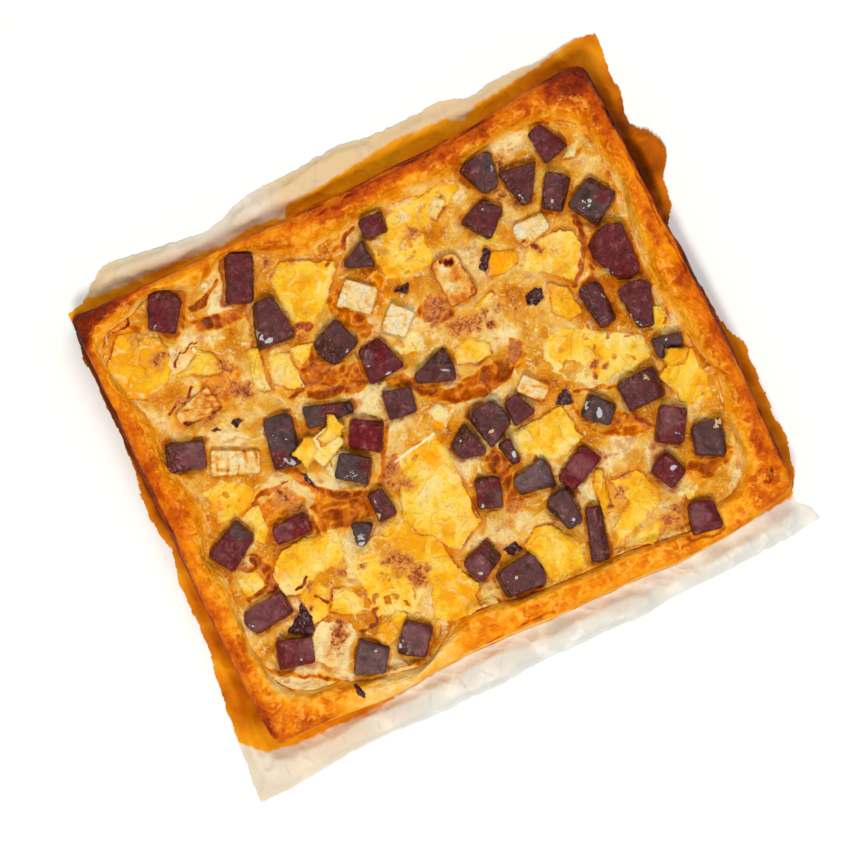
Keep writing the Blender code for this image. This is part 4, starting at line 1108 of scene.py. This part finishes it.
# Dark scraps of beetroot; the pale grey end of the ramp is painted highlight
scrap_stops = [(0.0, "#2a1412"), (0.5, "#4a2a2a"), (0.8, "#664c4e"), (1.0, "#90828a")]
scrap_colour = add_node(cheese, "ValToRGB", 0, {"Fac": scrap_tone}, stops=scrap_stops)
look = layered(
    cheese,
    simmered,
    [
        (mask_from(cheese, [("slice", 1.0)], 0.0, 1.0), melted),
        (mask_from(cheese, [("yolk", 1.0), (wisps, 0.25)], 0.2, 1.0), "#f49a06"),
        (onion_mask, sauce),
        (mask_from(cheese, [("rind", 1.0), (wisps, 0.3)], 0.2, 1.0, 0.7), "#f0a41a"),
        (juice_mask, juice_colour),
        (mask_from(cheese, [("spots", 1.0), (coarse, 0.3), (fine, 0.15)], 0.1, 0.9, 0.85), "#dc9640"),
        (crumbs, toast),
        (mask_from(cheese, [("scrap", 1.0), (fine, 0.25)], 0.3, 0.6), scrap_colour),
        # Pale rind streaks on slices, and a painted highlight along their crisp edges
        (mask_from(cheese, [("pale", 1.0), (fine, 0.3)], 0.35, 0.8), "#f3dfb0"),
    ],
)
connect(cheese, look, shader.inputs["Base Color"])
wetness = mask_from(cheese, [("onion", 1.0), (folds, 0.4), (wisps, 0.2)], 0.3, 1.2, 0.3)
connect(cheese, wetness, shader.inputs["Specular IOR Level"])
shader.inputs["Roughness"].default_value = 0.22
relief = add_node(cheese, "Math", 0, {0: wisps, 1: 0.6, 2: folds}, operation="MULTIPLY_ADD")
relief = add_node(cheese, "Bump", 0, {"Height": relief, "Distance": 0.4 * MM})
connect(cheese, relief, shader.inputs["Normal"])

to_piece(
    "melted_filling",
    np.column_stack([spread, surface]),
    spread_faces,
    cheese,
    "melted_cheese",
    "cheese_filling",
    yellow=layout["yellow"],
    onion=onion,
    spots=layout["spots"],
    juice=juice,
    scrap=layout["scrap"],
    yolk=layout["yolk"],
)

# %% [markdown]
# ## Slices of cheese
#
# Each slice keeps a little of its cut edge on the side that stood up, and melted flat on the other.
# It is a fine grid inside its outline, laid on whatever is below it, filling or crust. Its edge
# rolls down out of sight, so it needs no sides. The yellow collects along the crisp side, and the
# filling at its foot is amber, partly gathered sauce and partly painted shade.

# %% The melted slices
SLICE_STEP = 0.6
EDGE_ROLL = 0.9
MELTED_EDGE = 2.8
EDGE_SINK = 0.5
BORDER_DROP = 1.6
PALE_STREAKS = (
    ([(-32, -18), (-18, -16), (-5, -14)], 2.2),
    ([(-107, 73.5), (-102, 75.5), (-97, 78)], 4.4),
)

crust_tree = KDTree(RIM_COLUMNS * TOP_ROWS)
for index, place in enumerate(rim[SIDE_ROWS * RIM_COLUMNS :]):
    crust_tree.insert((place[0], place[1], 0), index)
crust_tree.balance()


def ground_below(flat):
    """The height of the filling or the crust, whichever is higher, at places seen from above."""
    level = filling_level(flat)
    for index in np.flatnonzero(outside(flat, WELL) > -1.0):
        nearest = crust_tree.find((*flat[index], 0))[1]
        level[index] = max(level[index], rim[SIDE_ROWS * RIM_COLUMNS + nearest, 2])
    return level


def cut_outline(points, seed):
    """A drawn outline at steps of a millimetre, with a slightly uneven cut."""
    walk = []
    for start, end in zip(np.array(points, float), np.roll(np.array(points, float), -1, axis=0)):
        steps = max(2, int(np.linalg.norm(end - start)))
        walk.extend(start + (end - start) * step / steps for step in range(steps))
    return wandering(wandering(np.array(walk), 0.8, 5, seed), 0.3, 1.5, seed + 50)


slices = [(*row, None) for row in MELTED_SLICES] + list(UPPER_SLICES)
for number, (points, thickness, yellowness, standing, lift) in enumerate(slices, 1):
    edge = cut_outline(points, 900 + number)
    flat, faces = field_mesh(edge, SLICE_STEP, 0.6 * SLICE_STEP, snapped=True)
    inward = -outside(flat, edge)
    stood = stood_share(flat, points, standing)
    melting = (1 - stood) / (1 - FLAT_SHARE)
    rolled = np.sqrt(np.clip(1 - (1 - np.clip(inward / EDGE_ROLL, 0, 1)) ** 2, 0, 1))
    rolled = (1 - melting) * rolled + melting * smooth(0, MELTED_EDGE, inward)
    border = np.unique(border_edges(faces))
    rolled[border] = 0
    ground = filling_level(flat) + lift if lift else ground_below(flat)
    height = ground + thickness * stood * rolled - EDGE_SINK * (1 - rolled)
    height += (0.4 * noise(flat, 5, 920 + number) + 0.2 * noise(flat, 2.2, 960 + number)) * rolled
    layout = read_layout(flat)
    pale = np.zeros(len(flat))
    for line, streak_width in PALE_STREAKS:
        pale = np.maximum(pale, smooth(1.0, 0.6, from_line(flat, curve_through(line, 8)) / (streak_width / 2)))
    # Painted highlight: a thin pale line just inside the edge of the crisp side
    bright_edge = smooth(0.7, 0.2, np.abs(inward - 0.7)) * smooth(0.5, 0.9, stood)
    pale = np.maximum(pale, 0.6 * bright_edge * smooth(-0.2, 0.4, noise(flat, 9, 950 + number)))
    height = np.minimum(height + 0.5 * pale, HIGHEST)
    height[border] -= BORDER_DROP * (0.15 + 0.85 * smooth(0, 2, -outside(flat[border], WELL)))
    to_piece(
        f"melted_slice_{number:02d}",
        np.column_stack([flat, height]),
        faces,
        cheese,
        "melted_cheese",
        "cheese_filling",
        yellow=yellowness + 0.25 * (stood - 0.6) * smooth(6, 1, inward) + 0.2 * noise(flat, 12, 66),
        slice=1 - melting * smooth(MELTED_EDGE, 0, inward),
        onion=layout["strand"],
        spots=layout["spots"],
        yolk=layout["yolk"],
        scrap=layout["scrap"],
        rind=0.9 * smooth(2.0, 0.2, inward) * smooth(0.4, 1.0, stood),
        pale=pale,
    )

skin_edge = cut_outline([(-100, -108), (-97.5, -109), (-94.5, -115), (-97, -119), (-100.5, -115)], 990)
flat, faces = field_mesh(skin_edge, 0.5, 0.3, snapped=True)
inward = -outside(flat, skin_edge)
height = ground_below(flat) + 0.9 * smooth(0, 1.2, inward) + 0.3 * noise(flat, 2, 991)
height = np.minimum(height, HIGHEST)
height[np.unique(border_edges(faces))] -= BORDER_DROP
all_skin = np.ones(len(flat))
skin = np.column_stack([flat, height])
to_piece("beetroot_skin", skin, faces, cheese, "beetroot", "cheese_filling", scrap=all_skin)

# %% [markdown]
# ## Beetroot
#
# Each die is cooked, so its cut edges are only a little soft. Its top dried in the oven to a dull
# purple-brown, and its sides stayed wet and darker; on its edges and on the sides that lean away,
# the darker colour is partly painted shade. A die is a few flat cuts, so its surface is the lowest
# of the planes of its solid, read on a fine grid. Sides that lean away, growth rings and splits are
# then worked into it, and walls go down from its edge into the filling.

# %% A cut piece from the planes of its solid
CUT_STEP = 0.55
SWELL = 0.2
WALL_BOTTOM = 10.0
WALL_ROWS = 9


def cut_planes(name):
    """The planes of a solid's top and leaning sides: normal and a place on each."""
    bm = bmesh.new()
    bm.from_mesh(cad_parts[name].data)
    bmesh.ops.dissolve_limit(bm, angle_limit=math.radians(2), verts=bm.verts, edges=bm.edges)
    upward = [f for f in bm.faces if 0.02 < f.normal.z < 0.4 or f.normal.z > 0.93]
    planes = [(np.array(f.normal), to_tart([f.calc_center_median()])[0]) for f in upward]
    bm.free()
    return planes


def cut_piece(name, seed, edge_softness):
    """The grid of a cut piece seen from above, with its height and how far inside its edge it is."""
    corners = shadow_outline(name)
    walk = []
    for start, end in zip(corners, np.roll(corners, -1, axis=0)):
        steps = max(1, int(np.linalg.norm(end - start) / 0.5))
        walk.extend(start + (end - start) * step / steps for step in range(steps))
    from_middle = np.array(walk) - np.mean(corners, axis=0)
    swollen = np.array(walk) + SWELL * from_middle / np.linalg.norm(from_middle, axis=1)[:, None]
    edge = wandering(swollen, 0.18, 4, seed)
    flat, faces = field_mesh(edge, CUT_STEP, 0.6 * CUT_STEP, snapped=True)
    inward = np.clip(-outside(flat, edge), 0, None)
    height = np.full(len(flat), np.inf)
    for normal, place in cut_planes(name):
        height = np.minimum(height, place[2] - ((flat - place[:2]) @ normal[:2]) / normal[2])
    height = np.maximum(height, WALL_BOTTOM)
    return flat, faces, height - edge_softness * smooth(0.8, 0, inward), inward


# %% Cooked beetroot material
# Cooked beetroot: purple-brown on top, darker and wetter on sides and edges, partly painted shade,
# with painted glare and sheen
beetroot, shader = new_material("cooked beetroot")
fibre = grain(beetroot, 2.4, detail=4.0)
patchy = grain(beetroot, 5.0, detail=3.0, swirl=0.6)
streaks = creases(beetroot, 6.0, detail=2.5)
tone = mask_from(beetroot, [("crimson", 1.0), (patchy, 0.2), (fibre, 0.06)], 0.0, 1.0)
dry_stops = [(0.0, "#503e3c"), (0.25, "#593433"), (0.5, "#61282a"), (0.75, "#671a1e"), (1.0, "#711119")]
dry_flesh = add_node(beetroot, "ValToRGB", 0, {"Fac": tone}, stops=dry_stops)
# Wet sides and edges: dark brown-orange, partly painted shade and a painted reflection of the orange filling
wet_stops = [(0.0, "#3a1a08"), (0.5, "#4c1a06"), (1.0, "#5e1408")]
wet_flesh = add_node(beetroot, "ValToRGB", 0, {"Fac": tone}, stops=wet_stops)
dried = mask_from(beetroot, [("dried", 1.0), (fibre, 0.3)], 0.2, 0.8)
filmed = mask_from(beetroot, [("film", 1.0), (fibre, 0.5), (streaks, 0.35)], 0.6, 0.75)
flesh = layered(
    beetroot,
    wet_flesh,
    [
        (dried, dry_flesh),
        # Painted sheen: pale pinkish grey along the streaks and patches
        (mask_from(beetroot, [(streaks, 0.6), (patchy, 0.7), (fibre, 0.3)], 0.15, 1.1, 0.5), "#8e5e60"),
        (mask_from(beetroot, [(streaks, -0.5), (patchy, -0.7), (fibre, -0.3)], 0.25, 1.1, 0.55), "#2e120d"),
        # Painted sheen: a paler, greyer colour on some tops
        (mask_from(beetroot, [("dull", 1.0), (patchy, 0.3), (streaks, 0.3)], 0.1, 1.2, 0.3), "#966e70"),
        # Painted glare: pale grey patches standing in for highlights on wet beetroot
        (filmed, "#b8b2b6"),
        (mask_from(beetroot, [("crumb", 1.0)], 0.3, 0.7), "#c9a878"),
    ],
)
connect(beetroot, flesh, shader.inputs["Base Color"])
gloss = mask_from(beetroot, [("dried", -1.0), (patchy, 0.3)], -1.4, 0.2, 0.4)
connect(beetroot, gloss, shader.inputs["Specular IOR Level"])
shader.inputs["Roughness"].default_value = 0.32
relief = add_node(beetroot, "Math", 0, {0: fibre, 1: 0.3, 2: streaks}, operation="MULTIPLY_ADD")
relief = add_node(beetroot, "Bump", 0, {"Height": relief, "Distance": 0.35 * MM})
connect(beetroot, relief, shader.inputs["Normal"])

# %% [markdown]
# The dice differ: a few are crimson, some are grey on top, and several have split. Each has a
# number, that of its solid. A leaning side is a crease across the top of a piece, with the way it
# falls and how steeply. A glare patch is a painted highlight: a pale grey patch in the colour of a
# wet top.

# %% How the dice differ
# How red each die is, from 0 for grey to 1 for crimson, in the order of their numbers
REDNESS = (0.5, 0.2, 0.4, 0.35, 0.05, 0.65, 0.5, 0.5, 0.35, 0.5)
REDNESS += (0.5, 0.6, 0.35, 0.25, 0.55, 0.25, 0.1, 0.35, 0.0, 0.4)
REDNESS += (0.25, 0.35, 0.4, 0.3, 0.1, 0.05, 0.8, 0.05, 0.4, 0.6)
REDNESS += (0.65, 0.12, 0.6, 0.85, 0.0, 0.45, 0.15, 0.35, 0.5, 0.25)
REDNESS += (0.4, 0.0, 0.8, 0.62, 0.6, 0.25, 0.65, 0.08, 0.35)
# Places with a tone of their own: x, y, radius, redness
TONE_PATCHES = (
    (-47, 20, 7, 0.6), (66, 95, 6, 0.6), (-115, -14, 7, 0.1), (-83, 9, 6, 0.65), (-13, 37, 8, 0.8),
    (28, -30, 5, 0.6), (79, 94, 5, 0.0), (18, 93, 5, 0.8), (124, 55, 5, 0.5), (-130, 33, 5, 0.7),
    (-44, -14, 6, 0.5), (8, -48, 6, 0.6), (106, -42, 3, 0.8), (-35, 47, 8, 0.35), (-57, 10, 4, 0.3),
)
# Tops with a painted sheen, a paler and greyer colour: x, y, radius
DULL_TOPS = (
    (-86, -101, 13), (-125, -58, 13), (28, -56, 13), (-61, -103, 10), (101, -60, 10), (-118, 30, 10),
    (-97, -24, 6), (95, -111, 7), (-112, -83, 7), (-16, -84, 7), (52, -63, 8), (-20, 35, 6), (10, -60, 6),
)
LEANING_SIDES = {
    2: ((70, 93, 170, 0.35),),
    3: ((88, 80, 185, 0.3),),
    4: ((106, 66, -28, 0.55), (98, 69, 152, 0.4)),
    5: ((124, 58, 35, 0.6), (116, 47, 250, 0.4)),
    6: ((110, 22, 215, 0.35),),
    7: ((61, 68, 215, 0.5), (71, 75, 60, 0.3)),
    8: ((16, 94, -8, 0.5),),
    9: ((94, 5, 175, 0.35), (101, 8, -10, 0.45)),
    10: ((112, -8, 195, 0.45), (120, -7, -35, 0.35)),
    11: ((-54, 98, -28, 0.4),),
    12: ((-98, 107, 60, 0.4),),
    13: ((-61, 74, 165, 0.55),),
    14: ((-30, 48, 200, 0.35), (-27, 42, -65, 0.45)),
    15: ((-14, 35, 100, 0.4),),
    16: ((9, 17, 60, 0.3), (10, 8, -110, 0.5)),
    18: ((103.5, -42, 0, 0.55), (97, -36, 95, 0.25)),
    19: ((70, -37, 130, 0.35), (78, -40, 30, 0.5)),
    21: ((16, -22, 172, 0.45), (27, -29, -30, 0.35)),
    22: ((4, -26, 105, 0.3),),
    23: ((23, -40, 185, 0.5),),
    25: ((-43, 21, 10, 0.5),),
    26: ((-82, 11, 215, 0.35),),
    27: ((-32, 2, 30, 0.55),),
    28: ((-43, -14, -20, 0.35),),
    29: ((-127, 34, 195, 0.45),),
    30: ((97.5, -62, 150, 0.5),),
    32: ((122, -80, -15, 0.45),),
    33: ((90, -112, 165, 0.4),),
    34: ((57, -56, 60, 0.4),),
    36: ((5, -48, 70, 0.35),),
    37: ((31, -76, 190, 0.35),),
    38: ((46, -96, -15, 0.5),),
    39: ((-10, -83, -20, 0.3),),
    40: ((-8, -100, 180, 0.4),),
    42: ((-57, -42, 20, 0.6),),
    44: ((-115, -14, 20, 0.35),),
    46: ((3, 83, 0, 0.35),),
    47: ((-127, -82, 170, 0.4), (-120, -89, -110, 0.35)),
    48: ((-91, -96, 130, 0.25),),
    49: ((-66, -102, 190, 0.35),),
}
BEETROOT_SPLITS = (
    [(3, 18), (10, 13), (17, 11)],
    [(11, -19), (12, -27), (15, -34)],
    [(-80, 23), (-74, 17), (-70, 12)],
    [(-99, -20), (-94, -26)],
    [(-58, -2), (-52, -10), (-44, -14)],
    [(36, -94), (42, -97)],
    [(113, -80), (117, -87)],
    [(-12, -78), (-8, -88)],
    [(-61, -38), (-58, -45)],
    [(-63, -39), (-61, -46)],
)
# Painted glare, pale grey patches that stand for highlights: x, y, length, width, turn in degrees, strength
FILMS = (
    (-63, 70, 10, 4, 110, 1.0), (-60, 65, 5, 3, 0, 0.9), (73, -42, 6, 3.4, 60, 1.1), (69, -36, 6, 3, 50, 0.8),
    (-78, 6, 8, 3.4, -50, 0.9), (-79, 21, 6, 1.4, -50, 0.6), (-74, 16, 4, 1.2, -55, 0.9), (-45, -20, 4, 2.6, 60, 0.9),
    (37, -86, 5, 4, 120, 0.75), (115, 56, 10, 6, 30, 0.6), (109, 20, 9, 1.6, -50, 0.8), (-13, 23, 4, 1.8, -15, 1.0),
    (-21, 31, 2.5, 1.5, -30, 1.0), (13, 12, 7, 1.3, -30, 1.0), (6, 8, 5, 1.0, -20, 0.9), (101, 10, 6, 1.2, -70, 0.8),
    (99, 63, 7, 2.4, 60, 0.8), (-63, -45, 9, 5, 60, 0.75), (-1, -58, 6, 2.6, -45, 0.85), (-2, -50, 5, 2.2, -60, 0.75),
    (-69, -101, 6, 5, 0, 0.6), (-81, -99, 3, 2.5, 0, 0.9), (-48, -33, 5, 1.5, -80, 0.9), (111, -11, 5, 1.8, -60, 0.9),
    (109, -5, 6, 1.5, 90, 0.7), (25, -41, 9, 2.2, 85, 0.8), (-53, -14, 9, 6, 0, 0.5), (94, -84, 5, 3, 0, 0.8),
    (79, 92, 6, 5, 0, 0.45), (-132, -60, 5, 1.5, -50, 0.8), (104, -70, 5, 1.5, -60, 0.6), (-2, -98, 2, 2, 0, 0.9),
    (114, -84, 8, 2, -50, 0.45), (3, 94, 3, 1, 0, 0.8), (-28, 42, 9, 1.6, 30, 0.7), (86, 74, 7, 1.2, -70, 0.7),
    (92, 72, 3, 1, -60, 0.6), (8, -29, 8, 1.2, -10, 0.5), (120, -24, 3, 1.2, 20, 0.9), (127, -28, 3, 1, -40, 0.8),
    (-118, -86, 8, 1.2, -20, 0.5), (-17, -88, 4, 2, -30, 0.6), (66, 76, 3, 1.4, 0, 0.6), (-108, 97, 5, 3, 40, 0.4),
)
CRUMBS = ((-50, -39, 1.2), (20, -26, 1.1), (102, -37, 1.3), (3, -24, 1.2), (125, -73, 1.6), (123, -75, 1.0), (-111, -71, 0.8))

# %% The beetroot dice


def patch(places, row):
    """How far places lie inside a long patch, 1 in its middle and 0 outside it."""
    x, y, length, breadth, turn = row[:5]
    cosine, sine = math.cos(math.radians(turn)), math.sin(math.radians(turn))
    run_x, run_y = places[:, 0] - x, places[:, 1] - y
    stretched = np.hypot((run_x * cosine + run_y * sine) / length, (run_y * cosine - run_x * sine) / breadth)
    return smooth(0.62, 0.3, stretched)


for number, name in enumerate(beetroot_names, 1):
    flat, faces, height, inward = cut_piece(name, 300 + number, 0.3)
    chance = np.random.default_rng(number)
    leaning = np.zeros(len(flat))
    for crease_x, crease_y, falls_to, slope in LEANING_SIDES.get(number, ()):
        way = np.array([math.cos(math.radians(falls_to)), math.sin(math.radians(falls_to))])
        beyond = (flat - (crease_x, crease_y)) @ way
        height -= slope * np.clip(beyond, 0, None)
        leaning = np.maximum(leaning, smooth(-0.3, 0.8, beyond))
    for points, thickness, yellowness, standing, lift in UPPER_SLICES:
        under = outside(flat, np.array(points, float), reach=3.0) < 0.6
        height[under] = np.minimum(height[under], FILLING_MIDDLE + lift - 0.8)
    ring_centre = flat.mean(axis=0) + chance.uniform(-40, 40, 2)
    ring = np.sin(np.linalg.norm(flat - ring_centre, axis=1) * 2 * math.pi / 3.0 + noise(flat, 9, number))
    height += 0.45 * noise(flat, 7, 100 + number) + 0.06 * noise(flat, 2.0, 200 + number) + 0.05 * ring
    height -= 0.3 * ridges(flat, 8, 800 + number, 6.0)
    for line in BEETROOT_SPLITS:
        height -= 1.0 * smooth(0.8, 0.1, from_line(flat, curve_through(line, 8)))
    places, faces = with_walls(np.column_stack([flat, height]), faces, WALL_BOTTOM, WALL_ROWS)
    walls = len(places) - len(flat)
    bulge = 0.25 * noise(places, 3, 500 + number) * (np.arange(len(places)) >= len(flat))
    places[:, :2] += bulge[:, None]
    # Painted glare: pale grey patches on the tops
    film = np.zeros(len(places))
    for row in FILMS:
        film = np.maximum(film, row[5] * patch(places, row))
    # Painted sheen: a paler colour on some tops
    dull = np.zeros(len(places))
    for top_x, top_y, radius in DULL_TOPS:
        dull = np.maximum(dull, smooth(1.1, 0.5, np.hypot(places[:, 0] - top_x, places[:, 1] - top_y) / radius))
    crumb = np.zeros(len(places))
    for crumb_x, crumb_y, radius in CRUMBS:
        gap = np.hypot(places[:, 0] - crumb_x, places[:, 1] - crumb_y) / radius
        crumb = np.maximum(crumb, smooth(1.2, 0.7, gap + 0.8 * noise(places, 1.3, 640)))
    redness = REDNESS[number - 1] + 0.06 * np.append(ring, np.zeros(walls))
    for spot_x, spot_y, radius, own in TONE_PATCHES:
        gap = np.hypot(places[:, 0] - spot_x, places[:, 1] - spot_y) / radius
        redness = redness + (own - redness) * smooth(1.1, 0.5, gap)
    # Dry colour on the top; edges and leaning sides take the darker wet colour, which is partly painted shade
    dried = (1 - 0.75 * leaning) * smooth(-0.2, 0.5, inward) + 0.3 * noise(flat, 6, 700 + number)
    on_top = smooth(WALL_BOTTOM + 3, WALL_BOTTOM + 6, places[:, 2])
    places[:, 2] = np.minimum(places[:, 2] + 0.5 * crumb, HIGHEST)
    to_piece(
        f"beetroot_die_{number:02d}",
        places,
        faces,
        beetroot,
        "beetroot",
        name,
        crimson=redness,
        dried=np.append(dried, np.zeros(walls)),
        film=film * on_top,
        dull=dull * on_top,
        crumb=crumb * on_top,
    )

# %% [markdown]
# ## Goat cheese
#
# The larger pieces of goat cheese keep their cut shape. Their tops are cream with fine ribs where
# the knife dragged, and their edges toast first. One piece melted until it is as yellow as the
# filling, so it takes the filling's material.

# %% Toasted goat cheese material
# Goat cheese: cream in the middle, toasted to amber and brown at its edges
goat, shader = new_material("goat cheese toasted on its edges")
crumb = grain(goat, 1.6, detail=5.0, roughness=0.6)
blush = grain(goat, 4.5, detail=4.0, swirl=0.6)
cracks = creases(goat, 4.0, detail=3.0)
heat = mask_from(goat, [("toasted", 1.0), (crumb, 0.08), (blush, 0.16), (cracks, -0.05)], 0.0, 1.0)
goat_stops = [(0.0, "#ecdab4"), (0.2, "#efd190"), (0.4, "#eeb558"), (0.6, "#e08424"), (0.78, "#b64e0e")]
goat_stops += [(0.9, "#74260c"), (1.0, "#441208")]
connect(goat, add_node(goat, "ValToRGB", 0, {"Fac": heat}, stops=goat_stops), shader.inputs["Base Color"])
shader.inputs["Roughness"].default_value = 0.4
shader.inputs["Specular IOR Level"].default_value = 0.1
relief = add_node(goat, "Math", 0, {0: crumb, 1: 0.6, 2: cracks}, operation="MULTIPLY_ADD")
relief = add_node(goat, "Bump", 0, {"Height": relief, "Distance": 0.35 * MM})
connect(goat, relief, shader.inputs["Normal"])

# %% The goat cheese pieces
MOST_MELTED = 8
TOASTING = {1: 0.08, 2: -0.12, 3: 0.34, 4: 0.14, 5: 0.18, 6: 0.16, 7: 0.34}
RIBS = {1: (35, 3.4, 0.4), 2: (60, 4.2, 0.25), 5: (-25, 4.6, 0.4), 6: (50, 6.0, 0.2), 7: (70, 3.2, 0.25)}
# Toasted patches: x, y, length, breadth, turn in degrees, how toasted
GOAT_SPOTS = (
    (39, 60, 7, 6, 0, 1.0), (36, 62, 4, 3, 40, 0.8), (44, 41, 6, 4, 90, 0.95), (35, 41, 12, 4, 0, 0.62),
    (38, 51, 6, 5, 20, 0.55), (31, 44, 6, 8, 0, 0.55), (-115, 46, 6, 3, -30, 1.0), (-104, 52, 12, 12, 0, 0.68),
    (-100, 47, 7, 6, 0, 0.8), (-110, 58, 6, 3, 30, 0.8), (5, 41.5, 2, 2, 0, 0.8), (-6, 46, 3, 10, 60, 0.5),
    (76, 50, 10, 7, 30, 0.68), (73, 49, 4, 3, 0, 0.95), (84, 50, 14, 3, 0, 0.5), (44, -13, 4, 4, 40, 0.6),
    (46, -17, 3, 5, 40, 0.5), (55, -17, 9, 2.5, -50, 0.55), (0, 66, 10, 3, 45, 0.4), (-112, 24, 9, 5, -20, 0.62),
    (-110, 17, 8, 2, -30, 0.66), (-98, 16, 9, 1.5, 70, 0.5), (-92, 15, 9, 2, 70, 0.55), (4, 42, 12, 3, 40, 0.4),
)
for number, name in enumerate(goat_names, 1):
    flat, faces, height, inward = cut_piece(name, 350 + number, 0.7)
    height += 0.3 * noise(flat, 5, 400 + number) + 0.15 * noise(flat, 1.8, 500 + number)
    ribbed = np.zeros(len(flat))
    if number in RIBS:
        turn, pitch, depth = RIBS[number]
        across = flat @ (math.cos(math.radians(turn)), math.sin(math.radians(turn)))
        ribbed = smooth(0.3, 1.0, np.sin(across * 2 * math.pi / pitch + noise(flat, 8, 450 + number)))
        ribbed = ribbed * smooth(-0.2, 0.4, noise(flat, 9, 460 + number))
        height -= depth * ribbed
    places, faces = with_walls(np.column_stack([flat, height]), faces, WALL_BOTTOM, WALL_ROWS)
    walls = np.zeros(len(places) - len(flat))
    toasting = TOASTING.get(number, 0) + 0.3 * smooth(2.0, 0.2, inward) + 0.32 * ribbed
    toasting = np.append(toasting, walls + 0.45) + 0.16 * noise(places, 6, 600 + number)
    for row in GOAT_SPOTS:
        toasting = toasting + (row[5] - toasting) * patch(places, row) * (0.75 + 0.4 * noise(places, 2.5, 620))
    if number == MOST_MELTED:
        yellow = 0.25 + 0.15 * noise(places, 6, 630)
        fields = {"yellow": yellow, "slice": np.ones(len(places))}
        to_piece(f"goat_cheese_piece_{number}", places, faces, cheese, "goat_cheese", name, **fields)
    else:
        to_piece(f"goat_cheese_piece_{number}", places, faces, goat, "goat_cheese", name, toasted=toasting)
